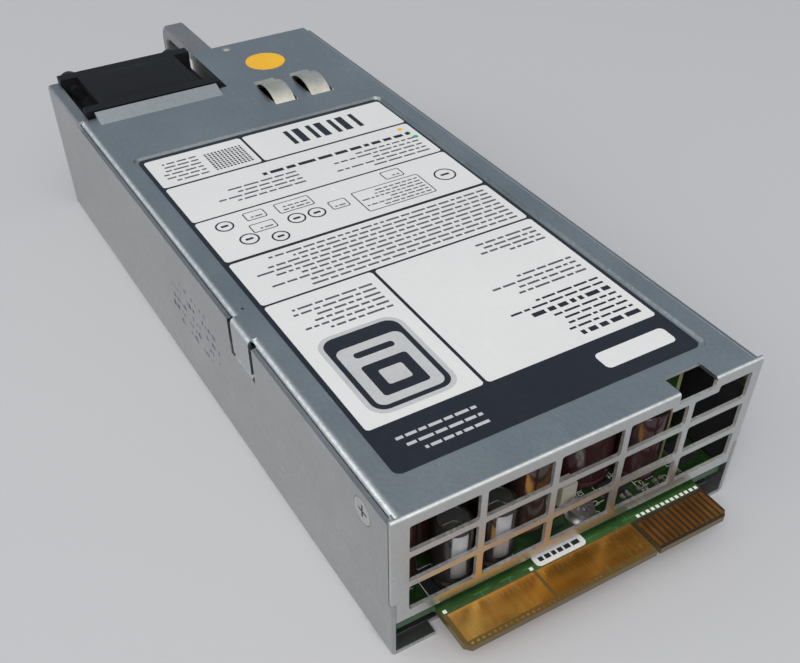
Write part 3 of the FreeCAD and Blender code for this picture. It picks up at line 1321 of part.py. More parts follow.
def build_front_chips():
    """Flat packages and small chips on the main board near the card edge."""
    spots = (("control_x - 8.5", 4.5, 5.0, 6.0), ("control_x + 12", 4.6, 5.0, 3.8), ("control_x - 4.1", 12.5, 3.2, 5.0),
             ("control_x + 25.9", 17.5, 4.6, 5.0), ("control_x - 8.5", 20.0, 5.5, 7.5), ("can_x - 18.2", 30.0, 6.0, 5.0),
             ("can_x - 8.2", 30.0, 6.0, 5.0), ("can_x + 1.8", 30.0, 6.0, 5.0))
    chips = []
    for number, (left, back, width, length) in enumerate(spots):
        chips.append(box("front_chip_%d" % number, (left, "%s + %g" % (left, width)),
                         (BOARD_FRONT + " - %g - %g" % (back, length), BOARD_FRONT + " - %g" % back),
                         (BOARD_TOP, BOARD_TOP + " + 1.2")))
    finish(group("front_chips_all", chips), "board_chips")
    small = []
    for number in range(26):
        column = number % 13
        row = number // 13
        left = "front_screw_x - small_chip_side + %d*finger_pitch*1.08" % column
        back = BOARD_FRONT + " - %g" % (0.9 + 1.9 * row)
        small.append(box("small_%d" % number, (left, left + " + 0.8"), (back + " - 1.3", back),
                         (BOARD_TOP, BOARD_TOP + " + 0.6")))
    small = [piece for number, piece in enumerate(small) if number < 13 or number % 3]
    finish(group("small_all", small), "small_chips")
    block = box("block", ("maroon_x + 0.79*maroon_r", "maroon_x + 1.28*maroon_r"),
                ("maroon_y + 0.72*maroon_r", "maroon_y + 1.1*maroon_r"), (BOARD_TOP, BOARD_TOP + " + 6"))
    finish(block, "white_block")


def build_transformer():
    """Ferrite core with two windows and a winding round its middle leg."""
    left = "core_x - core_width/2"
    right = "core_x + core_width/2"
    low = BOARD_TOP + " + seat"
    high = BOARD_TOP + " + seat + core_height"
    along = ("core_y - core_depth/2", "core_y + core_depth/2")
    block = box("core_block", (left, right), along, (low, high))
    tools = []
    for number, (start, end) in enumerate(((left + " + core_leg", "core_x - core_leg"),
                                           ("core_x + core_leg", right + " - core_leg"))):
        tools.append(box("core_window_%d" % number, (start, end), along, (low + " + core_leg", high + " - core_leg")))
    finish(cut("core", block, tools), "transformer_core")
    coil = box("winding_block", (left + " + core_leg + winding_gap", right + " - core_leg - winding_gap"),
               ("core_y - core_depth/2 - coil_overhang", "core_y + core_depth/2 + coil_overhang"),
               (low + " + core_leg + winding_gap", high + " - core_leg - winding_gap"))
    leg = box("winding_leg", ("core_x - core_leg", "core_x + core_leg"), along, (low, high))
    finish(cut("winding", coil, [leg]), "transformer_winding")


def toroid(name, x, y, radius, tube_r):
    """Lying ring core on a bar, and its two windings that wrap most of it."""
    level = BOARD_TOP + " + seat + %s" % tube_r
    core = ring(name + "_core_ring", "z", x, y, level, radius, "%s - 1" % tube_r)
    bar = box(name + "_bar", (x + " - 1.5", x + " + 1.5"), ("%s - %s" % (y, radius), "%s + %s" % (y, radius)),
              (BOARD_TOP, level + " - %s/2" % tube_r))
    coils = []
    for number, side in enumerate((-1, 1)):
        shell = ring("%s_shell_%d" % (name, number), "z", x, y, level, radius, tube_r)
        across = (x + " + 2", "%s + 2*%s" % (x, radius))
        if side < 0:
            across = ("%s - 2*%s" % (x, radius), x + " - 2")
        half = box("%s_half_%d" % (name, number), across, ("%s - 2*%s" % (y, radius), "%s + 2*%s" % (y, radius)),
                   (BOARD_TOP, level + " + 2*%s" % tube_r))
        wound = doc.addObject("Part::MultiCommon", "%s_wound_%d" % (name, number))
        wound.Shapes = [shell, half]
        inner = ring("%s_inner_%d" % (name, number), "z", x, y, level, radius, "%s - 1" % tube_r)
        coils.append(cut("%s_coil_%d" % (name, number), wound, [inner]))
    finish(joined(name + "_solid", [core, bar]), name + "_core")
    finish(group(name + "_coils", coils), name + "_winding")


def build_inductors():
    """Common-mode choke near the inlet and boost inductor behind the fan."""
    toroid("choke", "ring_x", "ring_y", "(ring_r - ring_tube)", "ring_tube")
    toroid("boost", "boost_x", "boost_y", "boost_r", "boost_tube")


def build_filter_parts():
    """Film capacitors, disc capacitors, fuse, relay and rectifier of the mains side."""
    films = []
    for number in range(2):
        start = "pivot_y - 0.8 + %d*(2*core_depth)" % number
        left = "pivot_x + knuckle_r + 4.1"
        films.append(box("film_cap_%d" % number, (left, left + " + film_cap_width"),
                         (start, start + " + film_cap_length"), (BOARD_TOP, BOARD_TOP + " + film_cap_height")))
    finish(group("film_caps_all", films), "film_capacitors")
    discs = []
    for number in range(2):
        middle = "ring_x + %d*ring_r*0.5" % (2 * number - 1)
        disc = rod("disc_%d" % number, "y", middle, "disc_end - disc_thickness", BOARD_TOP + " + 1.5*disc_r", "disc_r", "disc_thickness")
        leads = [box("disc_lead_%d_%d" % (number, side), (middle + " + %g" % (side * 2 - 0.3), middle + " + %g" % (side * 2 + 0.3)),
                     ("disc_end - disc_thickness/2 - 0.3", "disc_end - disc_thickness/2 + 0.3"), (BOARD_TOP, BOARD_TOP + " + disc_r"))
                 for side in (-1, 1)]
        discs.append(joined("disc_cap_%d" % number, [disc] + leads))
    finish(group("discs_all", discs), "disc_capacitors")
    fuse_x = "(-%s + screw_inset)" % BOARD_HALF
    fuse_y = "(core_y - 2.4*core_depth)"
    level = BOARD_TOP + " + fuse_r + 1"
    fuse_tube = rod("fuse_tube", "y", fuse_x, fuse_y, level, "fuse_r", "fuse_length")
    caps = []
    clips = []
    for number, start in enumerate((fuse_y, fuse_y + " + 3*fuse_length/4")):
        caps.append(rod("fuse_cap_%d" % number, "y", fuse_x, start, level, "fuse_r + 0.3", "fuse_length/4"))
        clips.append(box("fuse_clip_%d" % number, (fuse_x + " - 1.5", fuse_x + " + 1.5"),
                         (start + " + fuse_length/4 - 3.5", start + " + fuse_length/4 - 1.5"), (BOARD_TOP, level)))
    finish(joined("fuse_solid", [fuse_tube] + caps + clips), "fuse")
    relay = box("relay_box", ("sink_x - sink_sheet - package_thickness - 12", "sink_x - sink_sheet - package_thickness - 3"),
                ("relay_y", "relay_y + relay_length"), (BOARD_TOP, BOARD_TOP + " + 15"))
    finish(relay, "relay")


def package(name, x, along, standing_on):
    """Upright power package with three leads; x is its range across, along its range on Y."""
    low = BOARD_TOP + " + 4"
    block = box(name + "_block", x, along, (low, low + " + package_height"))
    leads = []
    for number in range(3):
        middle = "(%s + (%d + 1)*package_width/4)" % (along[0], number)
        leads.append(box("%s_lead_%d" % (name, number), ("%s + lead" % x[0], "%s + 2*lead" % x[0]),
                         (middle + " - lead/2", middle + " + lead/2"), (standing_on, low + " + lead")))
    return joined(name, [block] + leads)


def build_power_stage():
    """Heatsinks with their packages, the rectifier bridge and the copper output bars."""
    sink_along = ("bulk_y + 1", "bulk_y + 1 + sink_length")
    sink = box("sink", ("sink_x - sink_sheet/2", "sink_x + sink_sheet/2"), sink_along,
               (BOARD_TOP, BOARD_TOP + " + sink_height"))
    shelf = box("sink_shelf", ("sink_x - sink_sheet/2", "sink_x + 2*sink_sheet"), sink_along,
                (BOARD_TOP + " + sink_height - 2", BOARD_TOP + " + sink_height"))
    finish(joined("sink_solid", [sink, shelf]), "primary_heatsink")
    packages = []
    for number in range(4):
        start = "bulk_y + 1.6 + %d*package_pitch" % number
        packages.append(package("package_%d" % number,
                                ("sink_x - sink_sheet/2 - package_thickness", "sink_x - sink_sheet/2"),
                                (start, start + " + package_width"), BOARD_TOP))
    finish(group("packages_all", packages), "power_transistors")
    bridge_x = ("ring_x - 6.2", "ring_x - 1.8")
    bridge = package("bridge", bridge_x, ("bridge_y", "bridge_y + 2*package_width"), BOARD_TOP)
    finish(bridge, "bridge_rectifier")
    bars = []
    for number in range(2):
        left = "sink_x + %d*(2*sink_sheet + bar_sheet) + 1" % (number + 1)
        upright = box("bar_upright_%d" % number, (left, left + " + bar_sheet"),
                      ("bulk_y + bulk_length + bar_gap", "bulk_y + bulk_length + bar_gap + bar_length"),
                      (BOARD_TOP, BOARD_TOP + " + bar_height"))
        foot = box("bar_foot_%d" % number, (left, left + " + 3*bar_sheet"),
                   ("bulk_y + bulk_length + bar_gap", "bulk_y + bulk_length + bar_gap + bar_length"),
                   (BOARD_TOP, BOARD_TOP + " + bar_sheet"))
        bars.append(joined("bar_%d" % number, [upright, foot]))
    finish(group("bars_all", bars), "copper_bars")


# ------------------------------------------------------------ grounding springs

def build_springs():
    """Two bowed leaves that rise through slots in the cover; each is one bent strip."""
    start = size("spring_y")
    length = size("spring_length")
    rise = size("spring_rise")
    sheet_t = size("spring_sheet")
    foot = size("spring_foot")
    top = size("case_height")
    for number, side in enumerate((-1, 1)):
        middle = size("spring_x") + side * size("spring_pitch") / 2
        low_x = middle - size("spring_width") / 2
        crown = FreeCAD.Vector(low_x, start + 0.5 * length, top + rise)
        heel = FreeCAD.Vector(low_x, start, top + sheet_t)
        tip = FreeCAD.Vector(low_x, start + length, top - 0.9 * rise)
        end = FreeCAD.Vector(low_x, start - foot, top + sheet_t)
        down = FreeCAD.Vector(0, 0, -sheet_t)
        outer = Part.Arc(heel, crown, tip).toShape()
        inner = Part.Arc(heel + down, crown + down, tip + down).toShape()
        wire = Part.Wire([Part.makeLine(end, heel), outer, Part.makeLine(tip, tip + down), inner,
                          Part.makeLine(heel + down, end + down), Part.makeLine(end + down, end)])
        solid = Part.Face(wire).extrude(FreeCAD.Vector(size("spring_width"), 0, 0))
        piece = doc.addObject("Part::Feature", "spring_%d" % number)
        piece.Shape = solid
        piece.Placement = FreeCAD.Placement()
        finish(piece, "ground_spring_%s" % ("left" if side < 0 else "right"))


# ---------------------------------------------------------------------- build

build_tray()
build_cover()
build_end_plate()
build_side_screws()
build_rivets()
build_fan_frame()
build_fan_rotor()
build_fan_motor()
build_fan_guard()
build_fan_screws()
build_fan_bracket()
build_handle()
build_handle_screws()
build_inlet()
build_inlet_pins()
build_latch()
build_latch_mount()
build_light()
build_board()
build_pads()
build_stickers()
build_board_mounts()
build_films()
build_capacitors()
build_control_board()
build_front_chips()
build_transformer()
build_inductors()
build_filter_parts()
build_power_stage()
build_springs()
doc.recompute()

for piece in doc.Objects:
    if "Invalid" in piece.State or "Error" in piece.State:
        raise RuntimeError("%s failed: %s" % (piece.Name, piece.State))
for piece in parts:
    if piece.Shape.isNull() or not piece.Shape.isValid():
        raise RuntimeError("%s has no valid shape" % piece.Label)

os.makedirs("parts", exist_ok=True)
for piece in parts:
    piece.Shape.exportStep("parts/%s.step" % piece.Label)
    print("%-22s solids %3d  volume %10.2f mm3" % (piece.Label, len(piece.Shape.Solids), piece.Shape.Volume))
print(len(parts), "nodes")
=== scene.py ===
import math

import bmesh
import bpy
import numpy as np
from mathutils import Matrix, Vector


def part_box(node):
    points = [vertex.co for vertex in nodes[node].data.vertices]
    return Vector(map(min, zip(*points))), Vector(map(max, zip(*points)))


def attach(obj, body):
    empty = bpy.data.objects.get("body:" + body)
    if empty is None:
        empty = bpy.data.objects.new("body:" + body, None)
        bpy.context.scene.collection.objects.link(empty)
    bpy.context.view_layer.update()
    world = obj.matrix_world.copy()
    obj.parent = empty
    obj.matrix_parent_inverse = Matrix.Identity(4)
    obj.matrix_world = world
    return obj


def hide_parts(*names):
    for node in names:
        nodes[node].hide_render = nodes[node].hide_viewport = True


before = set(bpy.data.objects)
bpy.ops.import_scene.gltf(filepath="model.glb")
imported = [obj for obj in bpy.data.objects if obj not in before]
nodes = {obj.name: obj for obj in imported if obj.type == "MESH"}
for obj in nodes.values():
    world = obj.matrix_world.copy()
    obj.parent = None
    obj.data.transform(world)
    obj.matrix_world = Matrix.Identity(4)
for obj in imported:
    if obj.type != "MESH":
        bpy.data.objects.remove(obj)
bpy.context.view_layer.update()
mm = 0.001
print("frame loaded:", len(nodes), "nodes")


# Helpers for shader trees. A value is a number, a tuple or another node's socket.

def feed(tree, socket, value):
    if isinstance(value, (int, float)):
        socket.default_value = value
    elif isinstance(value, tuple):
        socket.default_value = (*value[:3], 1) if socket.type == "RGBA" else value
    else:
        tree.links.new(value, socket)


def mathNode(tree, operation, first, second=None, clamp=False):
    node = tree.nodes.new("ShaderNodeMath")
    node.operation = operation
    node.use_clamp = clamp
    feed(tree, node.inputs[0], first)
    if second is not None:
        feed(tree, node.inputs[1], second)
    return node.outputs[0]


def times(tree, first, second, clamp=False):
    return mathNode(tree, "MULTIPLY", first, second, clamp)


def vectorNode(tree, operation, first, second):
    node = tree.nodes.new("ShaderNodeVectorMath")
    node.operation = operation
    feed(tree, node.inputs[0], first)
    feed(tree, node.inputs[1], second)
    return node.outputs["Value" if operation == "DOT_PRODUCT" else "Vector"]


def splitVector(tree, vector):
    node = tree.nodes.new("ShaderNodeSeparateXYZ")
    tree.links.new(vector, node.inputs[0])
    return node.outputs


def objectPoint(tree):
    return tree.nodes.new("ShaderNodeTexCoord").outputs["Object"]


def noiseNode(tree, vector, scale, detail=3.0, rough=0.55):
    node = tree.nodes.new("ShaderNodeTexNoise")
    for label, value in (("Vector", vector), ("Scale", scale), ("Detail", detail), ("Roughness", rough)):
        feed(tree, node.inputs[label], value)
    return node.outputs["Fac"]


def mixColors(tree, factor, first, second):
    node = tree.nodes.new("ShaderNodeMix")
    node.data_type = "RGBA"
    feed(tree, node.inputs["Factor"], factor)
    colorSockets = [socket for socket in node.inputs if socket.type == "RGBA"]
    for socket, value in zip(colorSockets, (first, second)):
        feed(tree, socket, value)
    return [socket for socket in node.outputs if socket.type == "RGBA"][0]


def tint(tree, color, mask, share, other):
    return mixColors(tree, times(tree, mask, share), color, other)


# View, floor and light.

viewPlace = {
    "location": (0.095746, 0.191075, 0.159610),
    "turn": (45.6483, 0.4724, 149.6282),   # degrees about X, Y and Z
    "lens": 43.5,
    "shift": (0.013, 0.147),
}
studio = {
    "floorColor": (0.5, 0.5, 0.515, 1),
    "floorRough": 0.7,
    "floorSpecular": 0.2,
    "floorHalf": 3.0,
    "floorDrop": 0.0001,
    "nearSky": (1.0, 0.985, 0.96, 1),      # the side that the light comes from
    "farSky": (0.25, 0.3, 0.35, 1),
    "skyWay": (0.42, 0.62, 0.66),
    "skyBlend": (-0.1, 0.9),
    "worldStrength": 0.9,
    "keyLamp": ((0.8, 1.05, 1.45), 1.3, 22.0),    # place, size and power
    "fillLamp": ((1.3, -0.4, 0.75), 0.9, 3.4),
}


def placeCamera(settings):
    camera = bpy.data.cameras.new("camera")
    camera.lens = settings["lens"]
    camera.shift_x, camera.shift_y = settings["shift"]
    camera.clip_start = 0.005
    holder = bpy.data.objects.new("camera", camera)
    holder.location = settings["location"]
    holder.rotation_euler = [math.radians(angle) for angle in settings["turn"]]
    bpy.context.scene.collection.objects.link(holder)
    bpy.context.scene.camera = holder


# A square lamp that faces the origin.
def softLamp(name, place, lampSize, power):
    lamp = bpy.data.lights.new(name, "AREA")
    lamp.size = lampSize
    lamp.energy = power
    holder = bpy.data.objects.new(name, lamp)
    holder.location = place
    reach = math.hypot(place[0], place[1])
    holder.rotation_euler = (0, math.atan2(reach, place[2]), math.atan2(place[1], place[0]))
    bpy.context.scene.collection.objects.link(holder)


def layFloor(settings):
    mesh = bpy.data.meshes.new("floor")
    half = settings["floorHalf"]
    corners = [(-half, -half, 0), (half, -half, 0), (half, half, 0), (-half, half, 0)]
    mesh.from_pydata(corners, [], [(0, 1, 2, 3)])
    floor = bpy.data.objects.new("floor", mesh)
    floor.location.z = -settings["floorDrop"]
    bpy.context.scene.collection.objects.link(floor)
    paint = bpy.data.materials.new("floorPaint")
    paint.use_nodes = True
    shader = paint.node_tree.nodes["Principled BSDF"]
    shader.inputs["Base Color"].default_value = settings["floorColor"]
    shader.inputs["Roughness"].default_value = settings["floorRough"]
    shader.inputs["Specular IOR Level"].default_value = settings["floorSpecular"]
    mesh.materials.append(paint)


# An even sky that turns smoothly from its near colour to its far colour, away from the light.
def lightStudio(settings):
    world = bpy.data.worlds.new("studio")
    world.use_nodes = True
    tree = world.node_tree
    sky = tree.nodes["Background"]
    sky.inputs["Strength"].default_value = settings["worldStrength"]
    way = tree.nodes.new("ShaderNodeTexCoord").outputs["Generated"]
    share = tree.nodes.new("ShaderNodeMapRange")
    share.interpolation_type = "SMOOTHSTEP"
    share.inputs["From Min"].default_value, share.inputs["From Max"].default_value = settings["skyBlend"]
    tree.links.new(vectorNode(tree, "DOT_PRODUCT", way, settings["skyWay"]), share.inputs["Value"])
    blend = mixColors(tree, share.outputs[0], settings["farSky"], settings["nearSky"])
    tree.links.new(blend, sky.inputs["Color"])
    bpy.context.scene.world = world
    softLamp("keyLamp", *settings["keyLamp"])
    softLamp("fillLamp", *settings["fillLamp"])


placeCamera(viewPlace)
layFloor(studio)
lightStudio(studio)
bpy.context.scene.view_settings.view_transform = "Standard"
print("camera and studio placed")


# Shader groups that several finishes share. A tuple makes a vector input, and a number a plain one.

def newGroup(name, inputs, outputs):
    group = bpy.data.node_groups.new(name, "ShaderNodeTree")
    for label, value in inputs.items():
        kind = "NodeSocketVector" if isinstance(value, tuple) else "NodeSocketFloat"
        group.interface.new_socket(label, in_out="INPUT", socket_type=kind).default_value = value
    for label in outputs:
        group.interface.new_socket(label, in_out="OUTPUT", socket_type="NodeSocketFloat")
    return group, group.nodes.new("NodeGroupInput").outputs, group.nodes.new("NodeGroupOutput").inputs


# Grain is fine noise drawn out along one way, Patch a slow cloud, and Mark a few thin scratches.
def makeGrainGroup():
    group, given, result = newGroup(
        "surfaceGrain", {"Stretch": (1, 1, 1), "Grain Scale": 900.0, "Patch Scale": 40.0, "Mark Width": 0.012},
        ("Grain", "Patch", "Mark", "Tone"))
    point = objectPoint(group)
    drawn = vectorNode(group, "MULTIPLY", point, given["Stretch"])
    grain = noiseNode(group, drawn, given["Grain Scale"], 4.0, 0.6)
    patch = noiseNode(group, point, given["Patch Scale"], 3.0, 0.6)
    lines = noiseNode(group, vectorNode(group, "MULTIPLY", point, (30.0, 3.0, 40.0)), 14.0, 2.0, 0.5)
    away = mathNode(group, "ABSOLUTE", mathNode(group, "SUBTRACT", lines, 0.5))
    line = mathNode(group, "SUBTRACT", 1.0, mathNode(group, "DIVIDE", away, given["Mark Width"]), True)
    broken = mathNode(group, "GREATER_THAN", noiseNode(group, point, 60.0, 2.0), 0.56)
    tone = mathNode(group, "ADD", times(group, grain, 0.5), times(group, patch, 0.5))
    tone = mathNode(group, "ADD", times(group, mathNode(group, "SUBTRACT", tone, 0.5), 2.2), 0.5, True)
    sockets = {"Grain": grain, "Patch": patch, "Mark": times(group, line, broken), "Tone": tone}
    for label, socket in sockets.items():
        group.links.new(socket, result[label])
    return group


# A soft step along one row axis: 0 below Start, 1 above it, over a width of Blur.
def makeStepGroup():
    group, given, result = newGroup("axisStep", {"Axis": (0, 1, 0), "Start": 0.0, "Blur": 0.0002}, ("Mask",))
    reach = vectorNode(group, "DOT_PRODUCT", objectPoint(group), given["Axis"])
    past = mathNode(group, "DIVIDE", mathNode(group, "SUBTRACT", reach, given["Start"]), given["Blur"])
    group.links.new(mathNode(group, "ADD", past, 0.5, True), result["Mask"])
    return group


# Fine ridges across one axis, as wire laid side by side.
def makeRidgeGroup():
    group, given, result = newGroup("laidWire", {"Axis": (0, 0, 1), "Pitch": 0.0006}, ("Height",))
    reach = vectorNode(group, "DOT_PRODUCT", objectPoint(group), given["Axis"])
    turns = times(group, mathNode(group, "DIVIDE", reach, given["Pitch"]), math.pi)
    group.links.new(mathNode(group, "ABSOLUTE", mathNode(group, "SINE", turns)), result["Height"])
    return group


# A painted highlight on folds of sheet metal, broken up by noise: the square of 4 n n (1 - n n), where n is the
# upright part of the normal.
def makeFoldHighlightGroup():
    group, given, result = newGroup("paintedFoldHighlight", {"Normal": (0, 0, 1)}, ("Mask",))
    upright = splitVector(group, given["Normal"])["Z"]
    square = times(group, upright, upright)
    foldHighlight = times(group, times(group, square, mathNode(group, "SUBTRACT", 1.0, square)), 4.0)
    highlightBreakup = times(group, noiseNode(group, objectPoint(group), 700.0, 3.0, 0.6), 1.2)
    highlightBreakup = mathNode(group, "ADD", highlightBreakup, 0.2, True)
    group.links.new(times(group, times(group, foldHighlight, foldHighlight), highlightBreakup, True), result["Mask"])
    return group


# Short dashes side by side along X, kept within a band on Y.
def makeDashGroup():
    limits = {"Pitch": 0.002, "Share": 0.2, "Low": 0.0, "High": 0.01}
    group, given, result = newGroup("dashRow", limits, ("Mask",))
    point = splitVector(group, objectPoint(group))
    turn = mathNode(group, "FRACT", mathNode(group, "DIVIDE", point["X"], given["Pitch"]))
    mask = mathNode(group, "LESS_THAN", turn, given["Share"])
    for operation, limit in (("GREATER_THAN", "Low"), ("LESS_THAN", "High")):
        mask = times(group, mask, mathNode(group, operation, point["Y"], given[limit]))
    group.links.new(mask, result["Mask"])
    return group


grainGroup = makeGrainGroup()
foldHighlightGroup = makeFoldHighlightGroup()
dashGroup = makeDashGroup()
stepGroup = makeStepGroup()
ridgeGroup = makeRidgeGroup()
print("shader groups built")


def placeGroup(tree, group, values):
    node = tree.nodes.new("ShaderNodeGroup")
    node.node_tree = group
    for label, value in values.items():
        feed(tree, node.inputs[label], value)
    return node.outputs


# Finishes. Each row: the two colours between which the grain drifts, the roughness range, how metallic it is,
# the scales of grain and patches, the height of the bump, the width of the scratches, and how the grain is
# drawn out where it isn't even.
finishParts = ("dark", "light", "rough", "metallic", "grain", "patch", "bump", "mark", "stretch")
finishRows = {
    "traySheet": ((0.36, 0.37, 0.375), (0.52, 0.53, 0.53), (0.3, 0.42), 1.0, 1500, 45, 0.07, 0.01, (1, 0.6, 1)),
    "coverSheet": ((0.42, 0.45, 0.465), (0.58, 0.61, 0.625), (0.28, 0.4), 1.0, 1500, 26, 0.07, 0.009,
        (1, 0.6, 1)),
    "plainSheet": ((0.42, 0.43, 0.435), (0.58, 0.59, 0.59), (0.35, 0.5), 1.0, 800, 60, 0.05, 0.012,
        (1, 1, 0.25)),
    "zincScrew": ((0.45, 0.45, 0.45), (0.68, 0.68, 0.67), (0.25, 0.4), 0.95, 1800, 300, 0.04, 0.02),
    "blackSteel": ((0.008, 0.008, 0.009), (0.025, 0.025, 0.027), (0.3, 0.45), 0.4, 1500, 200, 0.04, 0.02),
    "springStrip": ((0.62, 0.59, 0.51), (0.9, 0.87, 0.78), (0.25, 0.42), 0.9, 1500, 200, 0.04, 0.02,
        (1, 0.15, 1)),
    "nickelPin": ((0.6, 0.59, 0.56), (0.8, 0.79, 0.76), (0.15, 0.3), 1.0, 1600, 200, 0.03, 0.02, (1, 0.2, 1)),
    "goldPlate": ((0.7, 0.26, 0.03), (1.0, 0.46, 0.07), (0.16, 0.32), 0.9, 900, 120, 0.05, 0.02, (1, 0.08, 1)),
    # The same gold made darker, as painted shade over the signal fingers.
    "fingerGoldShaded": ((0.22, 0.085, 0.018), (0.46, 0.19, 0.04), (0.28, 0.42), 0.9, 900, 120, 0.05, 0.02,
        (1, 0.08, 1)),
    "bareCopper": ((0.5, 0.22, 0.12), (0.75, 0.38, 0.24), (0.25, 0.45), 0.95, 1000, 100, 0.05, 0.02,
        (1, 0.2, 1)),
    "bronze": ((0.4, 0.26, 0.12), (0.6, 0.42, 0.22), (0.3, 0.45), 0.9, 2400, 300, 0.05, 0.02),
    "millAluminium": ((0.55, 0.56, 0.57), (0.74, 0.75, 0.76), (0.28, 0.44), 0.95, 1200, 70, 0.05, 0.015,
        (1, 0.12, 1)),
    "fanPlastic": ((0.004, 0.004, 0.005), (0.011, 0.011, 0.013), (0.42, 0.6), 0.0, 1700, 60, 0.09, 0.004),
    "rotorPlastic": ((0.008, 0.008, 0.009), (0.022, 0.022, 0.024), (0.3, 0.45), 0.0, 1500, 60, 0.05, 0.004),
    "handlePlastic": ((0.1, 0.1, 0.11), (0.17, 0.168, 0.18), (0.22, 0.36), 0.0, 1300, 40, 0.06, 0.005),
    "latchPlastic": ((0.36, 0.07, 0.03), (0.5, 0.12, 0.055), (0.34, 0.5), 0.0, 1400, 80, 0.06, 0.004),
    "inletPlastic": ((0.012, 0.012, 0.013), (0.035, 0.035, 0.037), (0.4, 0.58), 0.0, 1600, 70, 0.08, 0.004),
    "lightPipe": ((0.3, 0.6, 0.34), (0.45, 0.75, 0.5), (0.12, 0.25), 0.0, 800, 300, 0.02, 0.004),
    "labelInk": ((0.014, 0.017, 0.025), (0.021, 0.025, 0.035), (0.26, 0.36), 0.0, 500, 30, 0.015, 0.003),
    "printWhite": ((0.67, 0.665, 0.665), (0.72, 0.715, 0.71), (0.3, 0.4), 0.0, 600, 30, 0.012, 0.003),
    "printGrey": ((0.07, 0.072, 0.085), (0.11, 0.112, 0.13), (0.3, 0.4), 0.0, 900, 80, 0.012, 0.003),
    "printPale": ((0.44, 0.44, 0.45), (0.53, 0.53, 0.54), (0.3, 0.4), 0.0, 900, 80, 0.012, 0.003),
    "yellowFilm": ((0.8, 0.42, 0.008), (0.9, 0.5, 0.015), (0.3, 0.4), 0.0, 900, 120, 0.015, 0.003),
    "greenInk": ((0.02, 0.28, 0.14), (0.04, 0.4, 0.2), (0.3, 0.4), 0.0, 900, 120, 0.015, 0.003),
    "stampInk": ((0.07, 0.07, 0.15), (0.16, 0.16, 0.26), (0.35, 0.5), 0.3, 900, 400, 0.015, 0.003),
    "whiteFilm": ((0.62, 0.61, 0.58), (0.74, 0.73, 0.7), (0.45, 0.6), 0.0, 1200, 150, 0.03, 0.003),
    "blackFilm": ((0.012, 0.012, 0.013), (0.025, 0.025, 0.027), (0.35, 0.5), 0.0, 900, 60, 0.03, 0.003),
    "blackSleeve": ((0.012, 0.009, 0.009), (0.026, 0.02, 0.02), (0.18, 0.3), 0.0, 900, 90, 0.02, 0.003,
        (1, 1, 0.2)),
    "brownSleeve": ((0.022, 0.011, 0.009), (0.05, 0.024, 0.019), (0.14, 0.24), 0.0, 900, 90, 0.02, 0.003,
        (1, 1, 0.2)),
    "maroonSleeve": ((0.024, 0.008, 0.01), (0.05, 0.014, 0.017), (0.16, 0.28), 0.0, 900, 90, 0.02, 0.003,
        (1, 1, 0.2)),
    "canTop": ((0.45, 0.45, 0.45), (0.75, 0.75, 0.74), (0.2, 0.34), 0.95, 1600, 200, 0.03, 0.02),
    "rubberBase": ((0.45, 0.4, 0.3), (0.6, 0.54, 0.42), (0.5, 0.65), 0.0, 900, 100, 0.05, 0.003),
    "creamPlastic": ((0.4, 0.38, 0.31), (0.52, 0.5, 0.42), (0.4, 0.55), 0.0, 1200, 90, 0.05, 0.003),
    "chipEpoxy": ((0.012, 0.012, 0.013), (0.03, 0.03, 0.032), (0.42, 0.58), 0.0, 3000, 200, 0.06, 0.003),
    "ceramicChip": ((0.16, 0.13, 0.1), (0.3, 0.26, 0.2), (0.4, 0.55), 0.0, 2500, 900, 0.04, 0.003),
    "ferriteBlock": ((0.035, 0.035, 0.037), (0.07, 0.07, 0.073), (0.5, 0.68), 0.2, 2600, 150, 0.12, 0.003),
    "filmBlock": ((0.55, 0.36, 0.03), (0.68, 0.48, 0.06), (0.38, 0.5), 0.0, 1200, 80, 0.05, 0.003),
    "discResin": ((0.04, 0.12, 0.34), (0.06, 0.18, 0.46), (0.22, 0.36), 0.0, 900, 120, 0.05, 0.003),
    "fuseCeramic": ((0.6, 0.58, 0.54), (0.72, 0.7, 0.66), (0.25, 0.4), 0.1, 1200, 120, 0.03, 0.003),
    "markWhite": ((0.68, 0.69, 0.66), (0.82, 0.82, 0.8), (0.4, 0.5), 0.0, 2500, 300, 0.02, 0.003),
    # Painted highlight: red along a maroon sleeve's visible edge.
    "redEdge": ((0.3, 0.006, 0.02), (0.5, 0.012, 0.04), (0.25, 0.4), 0.0, 900, 90, 0.02, 0.003, (1, 1, 0.2)),
    "sleeveStripe": ((0.2, 0.2, 0.215), (0.34, 0.335, 0.355), (0.34, 0.46), 0.0, 900, 90, 0.02, 0.003,
        (1, 1, 0.2)),
    "solder": ((0.5, 0.5, 0.5), (0.74, 0.74, 0.73), (0.2, 0.35), 0.9, 2500, 500, 0.05, 0.02),
    "boardMask": ((0.015, 0.045, 0.01), (0.04, 0.105, 0.022), (0.2, 0.34), 0.0, 700, 60, 0.03, 0.004),
    "laidWire": ((0.32, 0.1, 0.04), (0.5, 0.19, 0.08), (0.25, 0.4), 0.6, 900, 120, 0.25, 0.004),
    "tapeWrap": ((0.55, 0.38, 0.04), (0.7, 0.52, 0.08), (0.25, 0.4), 0.0, 900, 120, 0.25, 0.004),
}

finishes = {name: dict(zip(finishParts, (*row, (1, 1, 1)))) for name, row in finishRows.items()}

# Specular level, coat roughness and coat weight of the finishes that aren't plain.
sheens = {
    "labelInk": (0.25, 0.2, 0.0), "printGrey": (0.25, 0.2, 0.0), "fanPlastic": (0.2, 0.3, 0.0),
    "brownSleeve": (0.5, 0.06, 0.3), "maroonSleeve": (0.5, 0.1, 0.25), "blackSleeve": (0.4, 0.12, 0.08),
    "handlePlastic": (0.5, 0.15, 0.3), "discResin": (0.5, 0.1, 0.5),
}


def maskStep(tree, axis, start, blur=0.0001):
    return placeGroup(tree, stepGroup, {"Axis": axis, "Start": start, "Blur": blur})["Mask"]


def trueNormal(tree):
    return tree.nodes.new("ShaderNodeNewGeometry").outputs["True Normal"]


